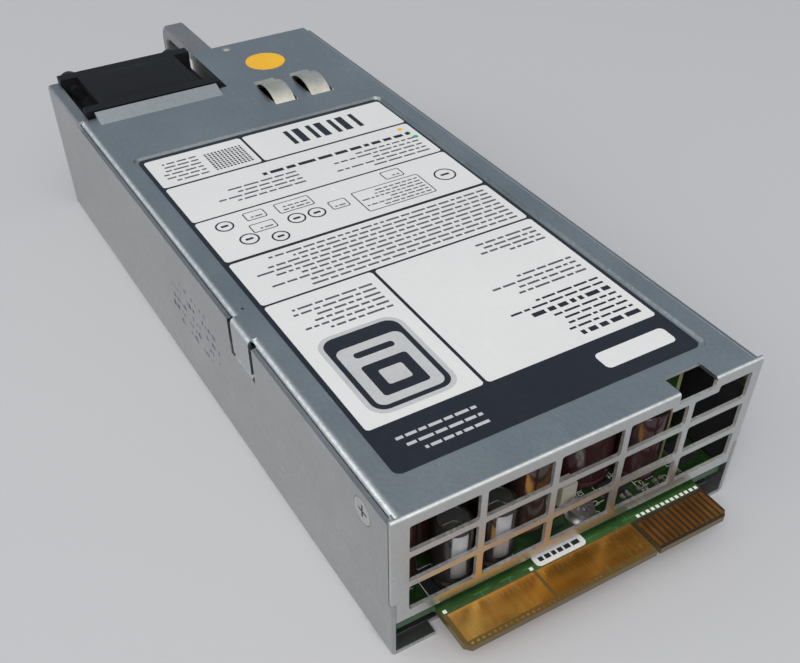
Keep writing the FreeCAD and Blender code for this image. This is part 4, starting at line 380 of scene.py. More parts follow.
def normalPart(tree, letter):
    return mathNode(tree, "ABSOLUTE", splitVector(tree, trueNormal(tree))[letter])


# Mask of the painted highlight on the folds.
def foldHighlightMask(tree):
    return placeGroup(tree, foldHighlightGroup, {"Normal": trueNormal(tree)})["Mask"]


# Grain over two colours, with scratches. A painter, where there is one, works the colour further, and gives
# back the colour and the height of the bump.
def makeFinish(name, row, paint=None, *details):
    settings = finishes[row]
    material = bpy.data.materials.new(name)
    material.use_nodes = True
    tree = material.node_tree
    shader = tree.nodes["Principled BSDF"]
    shader.inputs["Metallic"].default_value = settings["metallic"]
    for label, value in zip(("Specular IOR Level", "Coat Roughness", "Coat Weight"), sheens.get(name, ())):
        shader.inputs[label].default_value = value
    grain = placeGroup(tree, grainGroup, {"Stretch": settings["stretch"], "Grain Scale": settings["grain"],
                                          "Patch Scale": settings["patch"], "Mark Width": settings["mark"]})
    color, height = mixColors(tree, grain["Tone"], settings["dark"], settings["light"]), grain["Grain"]
    if paint:
        color, height = paint(tree, shader, grain, color, *details)
    pale = tuple(min(1.0, channel * 1.5 + 0.02) for channel in settings["light"])
    tree.links.new(tint(tree, color, grain["Mark"], 0.35, pale), shader.inputs["Base Color"])
    low, high = settings["rough"]
    span = times(tree, grain["Patch"], (high - low) * 1.6)
    tree.links.new(mathNode(tree, "ADD", span, low - (high - low) * 0.3), shader.inputs["Roughness"])
    bump = tree.nodes.new("ShaderNodeBump")
    bump.inputs["Strength"].default_value = min(1.0, settings["bump"] * 4)
    bump.inputs["Distance"].default_value = 0.0002
    tree.links.new(height, bump.inputs["Height"])
    tree.links.new(bump.outputs["Normal"], shader.inputs["Normal"])
    return material


coverLook = {
    "panelDepth": 0.00083,                  # of the folded panel, behind its face
    "lidDepth": 0.0009,                     # of the cover's top, below the walls' height
    # Painted light: the panel's front face is tinted lighter than the same sheet's top.
    "panel": (0.66, 0.65, 0.62), "panelFaceLightShare": 0.35,
    # Painted highlight colour on the folds and its share; foldDull makes the folds less metallic.
    "foldHighlight": (0.95, 0.96, 0.95), "foldHighlightShare": 0.9, "foldDull": 0.4,
    "rim": (0.42, 0.41, 0.39), "rimShare": 0.9, "rimDull": 0.9,
    # Weaker painted highlight on the tray's folds.
    "trayFoldHighlight": (0.84, 0.85, 0.84), "trayFoldHighlightShare": 0.7,
}


# The cover: a painted highlight on its folds, the panel's front face painted lighter, and bright rims where the
# panel's windows were punched.
def paintCover(tree, shader, grain, color, look):
    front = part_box("top_cover")[1].y
    onPanel = maskStep(tree, (0, 1, 0), front - look["panelDepth"])
    across = mathNode(tree, "LESS_THAN", normalPart(tree, "Y"), 0.5)
    lid = maskStep(tree, (0, 0, 1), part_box("case_tray")[1].z - look["lidDepth"])
    sheared = times(tree, times(tree, onPanel, across), mathNode(tree, "SUBTRACT", 1.0, lid))
    # Front faces of the panel, tinted lighter below as painted light.
    face = times(tree, onPanel, mathNode(tree, "GREATER_THAN", normalPart(tree, "Y"), 0.5))
    # Painted highlight on the folds.
    foldHighlight = foldHighlightMask(tree)
    color = tint(tree, color, face, look["panelFaceLightShare"], look["panel"])
    color = tint(tree, color, foldHighlight, look["foldHighlightShare"], look["foldHighlight"])
    color = tint(tree, color, sheared, look["rimShare"], look["rim"])
    scatter = times(tree, times(tree, sheared, grain["Tone"]), look["rimDull"], True)
    scatter = mathNode(tree, "MAXIMUM", scatter, times(tree, foldHighlight, look["foldDull"]))
    tree.links.new(mathNode(tree, "SUBTRACT", 1.0, scatter), shader.inputs["Metallic"])
    return color, grain["Grain"]


# The tray: a weaker painted highlight on its folds.
def paintTray(tree, shader, grain, color, look):
    return tint(tree, color, foldHighlightMask(tree), look["trayFoldHighlightShare"], look["trayFoldHighlight"]), grain["Grain"]


goldLook = {
    "dashPitch": 0.0011, "dashShare": 0.12, "dashLow": 0.0009, "dashHigh": 0.0021, "dash": (1.0, 0.78, 0.42),
    # Painted shade towards -X, and painted highlight towards +X.
    "shadeTowardsMinusX": (0.3, 0.14, 0.035), "shadeTowardsMinusXShare": 0.7, "highlightTowardsPlusX": (1.0, 0.66, 0.2),
}


# Gold on the card edge: brushed along Y, with a row of brighter dashes across its inner end, painted shade
# darkening it towards -X, and a patchy painted highlight brightening it towards +X and the front.
def paintGold(tree, shader, grain, color, look):
    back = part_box("power_pads")[0].y
    dashes = placeGroup(tree, dashGroup, {
        "Pitch": look["dashPitch"], "Share": look["dashShare"],
        "Low": back + look["dashLow"], "High": back + look["dashHigh"]})["Mask"]
    broken = mathNode(tree, "GREATER_THAN", noiseNode(tree, objectPoint(tree), 700.0, 1.0), 0.5)
    color = tint(tree, color, times(tree, dashes, broken), 0.85, look["dash"])
    # Painted shade towards -X.
    color = tint(tree, color, maskStep(tree, (-1, 0, 0), -0.001, 0.03), look["shadeTowardsMinusXShare"], look["shadeTowardsMinusX"])
    # Painted highlight towards +X and the front, patchy with the grain.
    color = tint(tree, color, maskStep(tree, (1, 0.4, 0), 0.066, 0.02), grain["Tone"], look["highlightTowardsPlusX"])
    return color, grain["Grain"]


boardLook = {
    # shadeOverFingers and shadeBehindPanel are painted shade.
    "trace": (0.05, 0.17, 0.06), "laminate": (0.11, 0.07, 0.018), "shadeOverFingers": (0.03, 0.017, 0.006),
    "core": (0.012, 0.06, 0.02), "tongueCore": (0.09, 0.06, 0.02), "sideCore": (0.2, 0.19, 0.08),
    "shadeBehindPanel": (0.004, 0.018, 0.006), "maskEnd": 0.0019,
    "brick": {"Scale": 210.0, "Mortar Size": 0.03, "Brick Width": 1.4, "Row Height": 0.5},
}


# Green mask with faint conductors; bare laminate on the tongue, and pale glass-resin at the cut edges. On the
# tongue, painted shade darkens the laminate over the fingers and the board behind the panel.
def paintBoard(tree, shader, grain, color, look, tongue):
    point = objectPoint(tree)
    if not tongue:
        turned = tree.nodes.new("ShaderNodeMapping")
        turned.inputs["Rotation"].default_value = (0, math.radians(90), 0)
        tree.links.new(point, turned.inputs["Vector"])
        point = turned.outputs["Vector"]
    brick = tree.nodes.new("ShaderNodeTexBrick")
    for label, value in (("Vector", point), *look["brick"].items()):
        feed(tree, brick.inputs[label], value)
    some = mathNode(tree, "GREATER_THAN", noiseNode(tree, point, 120.0, 1.0), 0.5)
    color = tint(tree, color, times(tree, brick.outputs["Fac"], some), 0.8, look["trace"])
    if tongue:
        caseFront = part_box("case_tray")[1].y
        bare = maskStep(tree, (0, 1, 0), caseFront + look["maskEnd"])
        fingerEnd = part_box("signal_fingers")[1].x + 0.0004
        # Painted shade on the laminate over the fingers.
        fingerShade = mixColors(tree, maskStep(tree, (-1, 0, 0), -fingerEnd), look["laminate"], look["shadeOverFingers"])
        color = mixColors(tree, bare, color, fingerShade)
        # Painted shade on the board behind the panel.
        color = tint(tree, color, maskStep(tree, (0, -1, 0), -caseFront, 0.0006), 0.6, look["shadeBehindPanel"])
        edge = mathNode(tree, "LESS_THAN", normalPart(tree, "Z"), 0.5)
        ahead = maskStep(tree, (0, 1, 0), caseFront - 0.0004, 0.0008)
        cut = mixColors(tree, ahead, look["core"], look["tongueCore"])
    else:
        edge = mathNode(tree, "LESS_THAN", normalPart(tree, "X"), 0.5)
        cut = look["sideCore"]
    return mixColors(tree, edge, color, cut), grain["Grain"]


# Windings: their finish, the axis that the wires or the tape lie across, and their pitch.
windings = {"laidWire": ("laidWire", (0.7, 0.7, 0), 0.0009), "statorWire": ("laidWire", (0, 1, 0), 0.0004),
            "tapeWrap": ("tapeWrap", (0, 1, 0), 0.004)}


# Enamelled wire or wound tape: the ridges run across the axis, with dark valleys.
def paintWinding(tree, shader, grain, color, dark, axis, pitch):
    ridge = placeGroup(tree, ridgeGroup, {"Axis": axis, "Pitch": pitch})["Height"]
    return mixColors(tree, ridge, tuple(channel * 0.45 for channel in dark), color), ridge


materials = {
    "coverSheet": makeFinish("coverSheet", "coverSheet", paintCover, coverLook),
    "traySheet": makeFinish("traySheet", "traySheet", paintTray, coverLook),
    "goldPlate": makeFinish("goldPlate", "goldPlate", paintGold, goldLook),
    "mainBoard": makeFinish("mainBoard", "boardMask", paintBoard, boardLook, True),
    "sideBoard": makeFinish("sideBoard", "boardMask", paintBoard, boardLook, False),
}
for name, (row, axis, pitch) in windings.items():
    materials[name] = makeFinish(name, row, paintWinding, finishes[row]["dark"], axis, pitch)
for name in finishes:
    if name not in materials and name != "boardMask":
        materials[name] = makeFinish(name, name)

nodeFinish = {
    "traySheet": "case_tray", "coverSheet": "top_cover", "plainSheet": "end_plate fan_bracket latch_bracket",
    "zincScrew": "side_screws cover_rivets handle_screws board_screws board_washers standoffs latch_pin "
                 "fan_shaft",
    "blackSteel": "fan_guard fan_screws", "springStrip": "latch_spring ground_spring_left ground_spring_right",
    "nickelPin": "inlet_pins", "goldPlate": "power_pads", "fingerGoldShaded": "signal_fingers",
    "bareCopper": "copper_bars", "bronze": "fan_bearing", "millAluminium": "primary_heatsink",
    "fanPlastic": "fan_frame", "rotorPlastic": "fan_rotor", "handlePlastic": "handle",
    "latchPlastic": "release_latch", "inletPlastic": "inlet_body", "lightPipe": "status_light",
    "labelInk": "rating_label", "yellowFilm": "plain_dot", "whiteFilm": "board_slip",
    "blackFilm": "floor_film wall_film", "blackSleeve": "bulk_capacitor output_cans",
    "brownSleeve": "brown_capacitors", "maroonSleeve": "maroon_capacitors",
    "creamPlastic": "capacitor_bed white_block",
    "chipEpoxy": "control_header control_chips board_chips power_transistors bridge_rectifier relay",
    "ceramicChip": "small_chips", "ferriteBlock": "transformer_core choke_core boost_core",
    "filmBlock": "film_capacitors", "discResin": "disc_capacitors", "fuseCeramic": "fuse",
    "mainBoard": "main_board", "sideBoard": "control_board", "laidWire": "choke_winding boost_winding",
    "statorWire": "fan_stator", "tapeWrap": "transformer_winding",
}
dressed = set()
for finish, names in nodeFinish.items():
    for name in names.split():
        mesh = nodes[name].data
        mesh.materials.clear()
        mesh.materials.append(materials[finish])
        dressed.add(name)
print("materials ready;", len(dressed), "of", len(nodes), "nodes dressed")


# Mesh helpers.

def addPiece(name, points, faces, finish, slotName, body="case", smooth=False):
    mesh = bpy.data.meshes.new(name)
    mesh.from_pydata((np.asarray(points, float) * mm).tolist(), [], [list(face) for face in faces])
    mesh.validate()
    work = bmesh.new()
    work.from_mesh(mesh)
    bmesh.ops.remove_doubles(work, verts=work.verts, dist=0.000001)
    work.to_mesh(mesh)
    work.free()
    if smooth:
        mesh.polygons.foreach_set("use_smooth", np.ones(len(mesh.polygons), bool))
    mesh.materials.append(materials[finish])
    piece = bpy.data.objects.new(name, mesh)
    bpy.context.scene.collection.objects.link(piece)
    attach(piece, body)
    return piece


# Quads between neighbouring rows and columns of a grid, whose columns close on themselves.
def gridFaces(rows, columns):
    row, column = np.meshgrid(np.arange(rows - 1), np.arange(columns), indexing="ij")
    ahead = (column + 1) % columns
    quads = np.stack([row * columns + column, row * columns + ahead,
                      (row + 1) * columns + ahead, (row + 1) * columns + column], -1)
    return quads.reshape(-1, 4)


# A turned shape: each profile point (radius, height) is carried round the upright axis at centre.
def turnedGrid(profile, centre, steps):
    radius, height = np.hsplit(np.asarray(profile, float), 2)
    angle = np.linspace(0, 2 * math.pi, steps, endpoint=False)[None, :]
    points = np.stack([centre[0] + radius * np.cos(angle), centre[1] + radius * np.sin(angle),
                       np.repeat(height, steps, 1)], -1)
    return points.reshape(-1, 3), gridFaces(len(profile), steps)


# A round plate: a turned shape whose profile goes out along the floor, up the rim and back over the top.
def roundPlate(centre, radius, low, high, steps):
    return turnedGrid([(0, low), (radius, low), (radius, high), (0, high)], centre, steps)


def stackMeshes(meshes):
    points, faces, start = [], [], 0
    for some, quads in meshes:
        points.append(np.asarray(some, float))
        faces.extend([[index + start for index in face] for face in quads])
        start += len(some)
    return np.concatenate(points), faces


# Corner numbers of a box's six sides: the lower four corners go round, then the upper four.
boxSides = np.array([[0, 3, 2, 1], [4, 5, 6, 7], [0, 1, 5, 4], [1, 2, 6, 5], [2, 3, 7, 6], [3, 0, 4, 7]])


# Boxes from an array of rows (x low, x high, y low, y high, z low, z high), eight corners each.
def boxStack(rows):
    rows = np.asarray(rows, float)
    pick = np.array([(x, y, z) for z in (4, 5) for x, y in ((0, 2), (1, 2), (1, 3), (0, 3))])
    faces = (boxSides[None] + 8 * np.arange(len(rows))[:, None, None]).reshape(-1, 4)
    return rows[:, pick].reshape(-1, 3), faces


# Flat bars (left, right, back, front) between two levels.
def barStack(bars, low, high):
    return boxStack([(*bar, low, high) for bar in bars])


# A thin plate with round corners: quarter circles about the four corner centres, carried from low to high.
def roundedPlate(left, right, back, front, low, high, radius):
    angle = np.linspace(0, math.pi / 2, 6)[None, :] + (np.arange(4) * math.pi / 2)[:, None]
    middleX = np.array([right - radius, left + radius, left + radius, right - radius])[:, None]
    middleY = np.array([front - radius, front - radius, back + radius, back + radius])[:, None]
    loop = np.stack([middleX + radius * np.cos(angle), middleY + radius * np.sin(angle)], -1).reshape(-1, 2)
    count = len(loop)
    points = np.concatenate([np.column_stack([loop, np.full(count, level)]) for level in (low, high)])
    faces = gridFaces(2, count).tolist() + [list(range(count - 1, -1, -1)), list(range(count, 2 * count))]
    return points, faces


# The box in millimetres of each separate solid of a node, found by joining its triangles at shared corners.
def solidBoxes(name):
    work = bmesh.new()
    work.from_mesh(nodes[name].data)
    bmesh.ops.remove_doubles(work, verts=work.verts, dist=0.000002)
    seen, boxes = set(), []
    for start in work.verts:
        queue, island = [start], []
        while queue:
            vert = queue.pop()
            if vert not in seen:
                seen.add(vert)
                island.append(vert.co[:])
                queue += [edge.other_vert(vert) for edge in vert.link_edges]
        if island:
            island = np.array(island) / mm
            boxes.append((island.min(0), island.max(0)))
    work.free()
    return boxes


# Rows of bars stand where a label would carry words: random lengths with even gaps between.
def barRows(random, left, right, front, pitch, heights, fill=(0.6, 1.0), words=(1.0, 4.2), gap=0.6):
    bars = []
    level = front
    for height in heights:
        end = left + (right - left) * random.uniform(*fill)
        start = left
        while start < end - 0.6:
            length = min(random.uniform(*words), end - start)
            bars.append((start, start + length, level - height, level))
            start += length + gap * (1.0 if height < 1.2 else 1.5)
        level -= pitch + height
    return bars


# Ink on the case: a faint oval of short dashes on the fan-side wall; and a black disc in the cover above it,
# painted shade for a small pit.

caseMarks = {
    "seed": 23, "dashes": 90, "middle": (7.0, 21.0), "span": (15.0, 7.5), "rowStart": 15.0, "rowPitch": 3.0,
    "long": (0.3, 0.9), "tall": (0.5, 1.5), "sunk": 0.02, "proud": 0.004,
    "pitPlace": (39.2, 31.2), "pitRadius": 0.36, "pitDepth": 0.2, "pitProud": 0.008,
}


def markCase(settings):
    random = np.random.default_rng(settings["seed"])
    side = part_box("case_tray")[1].x / mm
    middle, span, start, pitch = [settings[key] for key in ("middle", "span", "rowStart", "rowPitch")]
    rows = []
    for count in range(settings["dashes"]):
        turn, reach = random.uniform(0, 2 * math.pi), random.uniform(0, 1) ** 0.5
        y = middle[0] + span[0] * reach * math.cos(turn)
        z = middle[1] + span[1] * reach * math.sin(turn)
        z = start + pitch * round((z - start) / pitch)
        rows.append((side - settings["sunk"], side + settings["proud"], y, y + random.uniform(*settings["long"]),
                     z, z + random.uniform(*settings["tall"])))
    addPiece("sideStamp", *boxStack(rows), "stampInk", "label_film")
    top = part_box("case_tray")[1].z / mm
    # Painted shade: a black disc where the pit's hollow is shaded.
    pitShade = roundPlate(settings["pitPlace"], settings["pitRadius"], top - settings["pitDepth"],
                     top + settings["pitProud"], 20)
    addPiece("coverPitShade", *pitShade, "blackFilm", "black_film")


markCase(caseMarks)
print("case marked")


# The printed label. Sides are left, right, back and front, and a level counts layers of ink above the paper.

small, large = 0.62, 1.35    # heights of a line of print

label = {
    "seed": 11,
    "ink": 0.012,            # thickness of a printed layer
    "panelCorner": 0.9,
    "filmCorner": 1.6,
    "panels": [
        (-34.4, 8.1, 32.75, 77.25), (8.9, 35.1, 32.75, 77.25), (-34.4, 35.1, 14.1, 32.1),
        (-34.7, 35.1, -5.9, 13.1), (-34.7, 35.1, -24.75, -6.5), (-34.9, 7.4, -40.6, -25.5),
        (8.1, 35.1, -40.6, -25.5),
    ],
    "lines": [               # tone, left, right, front, pitch, heights, how full, word lengths
        ("grey", -32.5, -8.0, 41.6, 1.1, [small] * 4, (0.4, 0.7)),
        ("grey", -32.5, 0.0, 56.6, 1.2, [small] * 4, (0.45, 0.75)),
        ("dark", -32.5, 4.5, 74.8, 1.2, [large, small, small, small, small, large, small, small], (0.4, 0.75)),
        ("grey", 11.0, 33.5, 46.3, 1.2, [small] * 6, (0.5, 0.95)),
        ("grey", -32.5, 33.5, 30.6, 1.15, [small] * 9, (0.8, 1.0)),
        ("dark", -32.5, 33.5, -18.6, 1.3, [large], (0.6, 0.7), (1.2, 5.0)),
        ("grey", -32.5, -2.0, -8.6, 1.3, [small] * 5, (0.5, 0.9)),
        ("grey", 3.0, 33.5, -10.4, 1.3, [small] * 4, (0.5, 0.9)),
        ("grey", 22.0, 33.5, -27.4, 1.25, [small] * 6, (0.6, 1.0)),
    ],
    "uprights": {"count": 7, "left": -24.5, "pitch": 3.3, "widths": (1.3, 2.1), "ends": (-37.6, -29.6)},
    "rings": [               # x, y, radius
        (-28.6, 4.6, 2.9), (7.6, 4.2, 2.3), (12.9, 4.0, 2.3), (26.4, 6.6, 2.4), (19.6, 9.2, 2.2),
        (29.2, -1.4, 2.3),
    ],
    "ringWidth": 0.45,
    "frames": [
        (-22.6, -3.4, 0.6, 10.6), (-20.0, -14.5, -4.6, -0.6), (-1.2, 3.6, 1.4, 5.4), (6.0, 15.4, -4.4, 0.4),
        (18.0, 24.4, 1.2, 5.0), (18.2, 23.6, -4.4, -0.6),
    ],
    "frameWidth": 0.28,
    "field": {"columns": 11, "rows": 10, "left": 9.6, "front": -27.4, "pitch": 0.98, "size": 0.6},
    "badge": [               # piece, finish, slot, then level, sides and corner of each plate
        ("labelBadgePale", "printPale", "white_film",
         [(0, 12.1, 31.9, 48.6, 75.1, 3.9), (2, 14.4, 29.6, 53.8, 72.8, 1.9)]),
        ("labelBadge", "labelInk", "label_film",
         [(1, 13.2, 30.8, 49.7, 74.0, 2.9), (3, 17.4, 26.6, 56.2, 58.0, 0.8), (3, 16.8, 27.2, 60.6, 70.6, 0.8)]),
        ("labelBadgeWindow", "printPale", "white_film", [(4, 19.3, 24.7, 63.2, 68.0, 0.6)]),
    ],
    "bandMark": (-32.3, -14.5, 81.0, 86.0),
    "bandMarkCorner": 1.2,
    "dotRadius": 0.75,
    "dots": [(-31.4, -22.4), (-32.2, -19.6), (-33.0, -16.8)],
}


# A dark film with white panels. Bars, uprights, rings, frames and dots stand on them where words and marks
# would.
def printLabel(settings):
    random = np.random.default_rng(settings["seed"])
    low, high = [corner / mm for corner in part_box("rating_label")]
    sheet = roundedPlate(low.x, high.x, low.y, high.y, low.z, high.z, settings["filmCorner"])
    film = addPiece("labelFilm", *sheet, "labelInk", "label_film")
    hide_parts("rating_label")
    top, ink = high.z, settings["ink"]
    level = top + ink
    paper = [roundedPlate(*panel, top, level, settings["panelCorner"]) for panel in settings["panels"]]
    addPiece("labelPanels", *stackMeshes(paper), "printWhite", "white_film")
    bars = {"grey": [], "dark": []}
    for tone, *line in settings["lines"]:
        bars[tone] += barRows(random, *line)
    uprights, field = settings["uprights"], settings["field"]
    for count in range(uprights["count"]):
        left = uprights["left"] + uprights["pitch"] * count
        bars["dark"].append((left, left + uprights["widths"][count % 2], *uprights["ends"]))
    outer, inner = [], []
    for x, y, radius in settings["rings"]:
        outer.append(roundPlate((x, y), radius, level, level + ink, 32))
        radius -= settings["ringWidth"]
        inner.append(roundPlate((x, y), radius, level + ink, level + 1.5 * ink, 32))
        bars["dark"].append((x - radius * 0.5, x + radius * 0.5, y - 0.4, y + 0.4))
    width = settings["frameWidth"]
    for left, right, back, front in settings["frames"]:
        outer.append(roundedPlate(left, right, back, front, level, level + ink, 0.6))
        inner.append(roundedPlate(left + width, right - width, back + width, front - width,
                                  level + ink, level + 1.5 * ink, 0.4))
        bars["grey"] += barRows(random, left + 1.0, right - 0.8, front - 1.0, 0.9,
                                [0.5] * int((front - back - 1.6) / 1.4), words=(0.8, 2.2), gap=0.4)
    across = field["left"] + field["pitch"] * np.arange(field["columns"])
    along = field["front"] - field["pitch"] * np.arange(field["rows"])
    bars["dark"] += [(x, x + field["size"], y - field["size"], y) for x in across for y in along]
    addPiece("labelText", *barStack(bars["grey"], level, level + 2 * ink), "printGrey", "label_film")
    addPiece("labelBars", *barStack(bars["dark"], level, level + 2 * ink), "labelInk", "label_film")
    addPiece("labelMarks", *stackMeshes(outer), "labelInk", "label_film")
    addPiece("labelMarkFields", *stackMeshes(inner), "printWhite", "white_film")
    for name, finish, slotName, plates in settings["badge"]:
        stack = [roundedPlate(*sides, level + step * ink, level + (step + 1) * ink, corner)
                 for step, *sides, corner in plates]
        addPiece(name, *stackMeshes(stack), finish, slotName)
    band = barRows(random, 14.0, 33.0, 86.6, 1.5, [0.75, 0.75, 0.75], (0.6, 1.0), (0.9, 3.2), 0.5)
    addPiece("labelBandBars", *barStack(band, top, level), "printPale", "white_film")
    mark = roundedPlate(*settings["bandMark"], top, level, settings["bandMarkCorner"])
    addPiece("labelBandMark", *mark, "printWhite", "white_film")
    dots = [roundPlate(place, settings["dotRadius"], level, level + ink, 20) for place in settings["dots"]]
    addPiece("labelDot", *dots[0], "yellowFilm", "yellow_film")
    addPiece("labelGreenDots", *stackMeshes(dots[1:]), "greenInk", "board_green")


printLabel(label)
print("label printed")


# Capacitors: sleeve, vented top and base.

capacitors = {
    "shoulder": 0.7,
    "crimpDepth": 0.32,
    "crimpHeight": 2.4,
    "steps": 40,
    "ventWidth": 0.16,
    "ventTurns": (0.0, 2.0944, 4.1888),
    "stripe": (0.42, 1.35),      # half angle and facing of the sleeve's stripe, in radians
    "edge": (0.13, -0.5),        # the same for a painted red highlight along the visible edge of the widest maroon sleeve
    "stripeLow": 4.2,            # room below and above a stripe
    "stripeHigh": 0.9,
}


# Sleeve profile: straight wall with a shallow crimp near the foot and a rounded shoulder turned in over the top.
def sleeveProfile(radius, low, high, settings):
    turn = np.linspace(0, math.pi / 2, 6)
    bend = settings["shoulder"]
    crimp = np.linspace(-1, 1, 9)
    crimpRows = np.column_stack([radius - settings["crimpDepth"] * (1 + np.cos(crimp * math.pi)) / 2,
                                 low + settings["crimpHeight"] + crimp * 0.9])
    corner = np.column_stack([radius - bend + bend * np.cos(turn), high - bend + bend * np.sin(turn)])
    inside = [(radius * 0.8, high), (radius * 0.8, high - 0.25), (0, high - 0.25)]
    return np.concatenate([[(0, low + 0.35), (radius * 0.93, low + 0.35), (radius, low + 0.7)],
                           crimpRows, corner, inside])


# A strip of the cylinder's own surface, a hair proud of it, with a second skin inside so that it is closed.
def stripePatch(corners, half, facing, settings):
    (left, back, low), (right, front, high) = corners
    radius, x, y = (right - left) / 2 + 0.02, (left + right) / 2, (back + front) / 2
    foot, head = low + settings["stripeLow"], high - settings["stripeHigh"]
    angle = np.linspace(facing - half, facing + half, 9)
    ring = np.array([radius, radius, radius - 0.04, radius - 0.04])[:, None]
    level = np.array([foot, head, head, foot])[:, None] + 0 * angle
    points = np.stack([x + ring * np.cos(angle), y + ring * np.sin(angle), level], -1).reshape(-1, 3)
    row, column = np.meshgrid(np.arange(4), np.arange(8), indexing="ij")
    first, ahead = row * 9 + column, (row + 1) % 4 * 9 + column
    quads = np.stack([first, first + 1, ahead + 1, ahead], -1).reshape(-1, 4).tolist()
    return points, quads + [[0, 9, 18, 27], [35, 26, 17, 8]]


# Each can gets a sleeve in its own box, a lid with three vent lines from its centre, and a rubber base.
def dressCapacitors(node, finish, slotName, settings, striped=False):
    sleeves, tops, bases, stripes = [], [], [], []
    steps, width = settings["steps"], settings["ventWidth"]
    for corners in solidBoxes(node):
        (left, back, low), (right, front, high) = corners
        centre, radius, lid = np.array([left + right, back + front]) / 2, (right - left) / 2, high - 0.24
        sleeves.append(turnedGrid(sleeveProfile(radius, low, high, settings), centre, steps))
        tops.append(roundPlate(centre, radius * 0.795, lid - 0.3, lid, steps))
        for turn in settings["ventTurns"]:
            along = np.array([math.cos(turn), math.sin(turn)])
            aside = np.array([-along[1], along[0]]) * width
            ends = np.array([centre, centre + along * radius * 0.62])
            flat = np.concatenate([ends - aside, (ends + aside)[::-1]])
            block = [np.column_stack([flat, np.full(4, level)]) for level in (lid - 0.05, lid + 0.06)]
            tops.append((np.concatenate(block), boxSides))
        bases.append(roundPlate(centre, radius * 0.86, low, low + 0.4, steps))
        stripes.append(stripePatch(corners, *settings["stripe"], settings))
    sleeve = addPiece(node + "Sleeves", *stackMeshes(sleeves), finish, slotName, smooth=True)
    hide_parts(node)
    addPiece(node + "Tops", *stackMeshes(tops), "canTop", "aluminium")
    addPiece(node + "Bases", *stackMeshes(bases), "rubberBase", "white_plastic")
    if striped:
        addPiece(node + "Stripes", *stackMeshes(stripes), "sleeveStripe", "chip_grey", smooth=True)


dressCapacitors("output_cans", "blackSleeve", "can_sleeve", capacitors, striped=True)
dressCapacitors("brown_capacitors", "brownSleeve", "brown_sleeve", capacitors)
dressCapacitors("maroon_capacitors", "maroonSleeve", "maroon_sleeve", capacitors)
# A painted red highlight along the visible edge of the widest maroon sleeve.
widest = max(solidBoxes("maroon_capacitors"), key=lambda corners: corners[1][0] - corners[0][0])
edge = stripePatch(widest, *capacitors["edge"], capacitors)
addPiece("sleeveRimHighlight", *edge, "redEdge", "maroon_sleeve", smooth=True)
print("capacitors dressed")


# Small things on the board and the card edge.

boardTrim = {
    "squareCount": 13, "squareSize": 0.8, "squarePitch": 1.33, "squareLeft": -32.4, "squareY": 100.1,
    "loneSquares": [11.1, 31.5], "squareInk": 0.03,
    "viaCount": 34, "viaLeft": -10.7, "viaPitch": 1.27, "viaY": 109.05, "viaRadius": 0.3, "viaRise": 0.04,
    "legPitch": 0.8, "legWidth": 0.35, "legReach": 0.7, "legRise": 0.35,
    "endWidth": 0.3, "overlap": 0.02,
}


# White squares, a row of plated holes, legs beside the packages, and bright ends over the small chips.
def trimBoard(settings):
    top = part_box("main_board")[1].z / mm
    left = settings["squareLeft"] + settings["squarePitch"] * np.arange(settings["squareCount"])
    size, y, lap = settings["squareSize"], settings["squareY"], settings["overlap"]
    squares = [(x, x + size, y, y + size) for x in [*left, *settings["loneSquares"]]]
    addPiece("whiteSquares", *barStack(squares, top, top + settings["squareInk"]), "markWhite", "white_film")
    places = settings["viaLeft"] + settings["viaPitch"] * np.arange(settings["viaCount"])
    rise = top + settings["viaRise"]
    rings = [roundPlate((x, settings["viaY"]), settings["viaRadius"], top, rise, 12) for x in places]
    addPiece("viaRow", *stackMeshes(rings), "goldPlate", "gold")
    legs = []
    for low, high in solidBoxes("board_chips"):
        count = int((high[1] - low[1] - 0.6) / settings["legPitch"])
        start = (low[1] + high[1]) / 2 - (count - 1) * settings["legPitch"] / 2
        for leg in range(count):
            middle = start + leg * settings["legPitch"]
            near, far = middle - settings["legWidth"] / 2, middle + settings["legWidth"] / 2
            legs += [(low[0] - settings["legReach"], low[0] + lap, near, far),
                     (high[0] - lap, high[0] + settings["legReach"], near, far)]
    addPiece("chipLegs", *barStack(legs, top, top + settings["legRise"]), "solder", "bright_steel")
    caps = []
    wide = settings["endWidth"]
    for low, high in solidBoxes("small_chips"):
        for near, far in ((low[1] - lap, low[1] + wide), (high[1] - wide, high[1] + lap)):
            caps.append((low[0] - lap, high[0] + lap, near, far, top, high[2] + lap))
    addPiece("chipEnds", *boxStack(caps), "solder", "bright_steel")


slipPrint = {
    "seed": 5, "corner": 1.1, "leftRoom": 1.2, "rightRoom": 1.0, "pitch": 2.0, "gap": 0.45, "ink": 0.01,
    "lines": [               # room in front, heights, how full, word lengths
        (1.0, [1.1], (0.95, 1.0), (0.9, 2.0)),
        (3.4, [0.7, 0.7], (0.7, 1.0), (0.9, 2.4)),
    ],
}


# A white slip with rounded corners and plain bars, in place of the bare one.
def printSlip(settings):
    low, high = [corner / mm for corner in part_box("board_slip")]
    paper = roundedPlate(low.x, high.x, low.y, high.y, low.z, high.z, settings["corner"])
    slip = addPiece("slipPaper", *paper, "whiteFilm", "white_film")
    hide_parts("board_slip")
    random = np.random.default_rng(settings["seed"])
    bars = []
    for room, heights, fill, words in settings["lines"]:
        bars += barRows(random, low.x + settings["leftRoom"], high.x - settings["rightRoom"], high.y - room,
                        settings["pitch"], heights, fill, words, settings["gap"])
    addPiece("slipBars", *barStack(bars, high.z, high.z + settings["ink"]), "labelInk", "label_film")


boardPrint = {
    "seed": 3, "line": 0.14, "ink": 0.015,
    "outlines": 46, "outlineX": (-33.5, -8.6), "outlineY": (86.5, 96.8), "long": (0.9, 2.6), "short": (0.5, 1.2),
    "strokes": 20, "strokeX": (-4.0, 40.0), "strokeY": (60.0, 97.0), "strokeLong": (0.8, 2.4),
    "patch": (12.6, 32.4, 89.2, 98.0), "patchInk": 0.008,
}


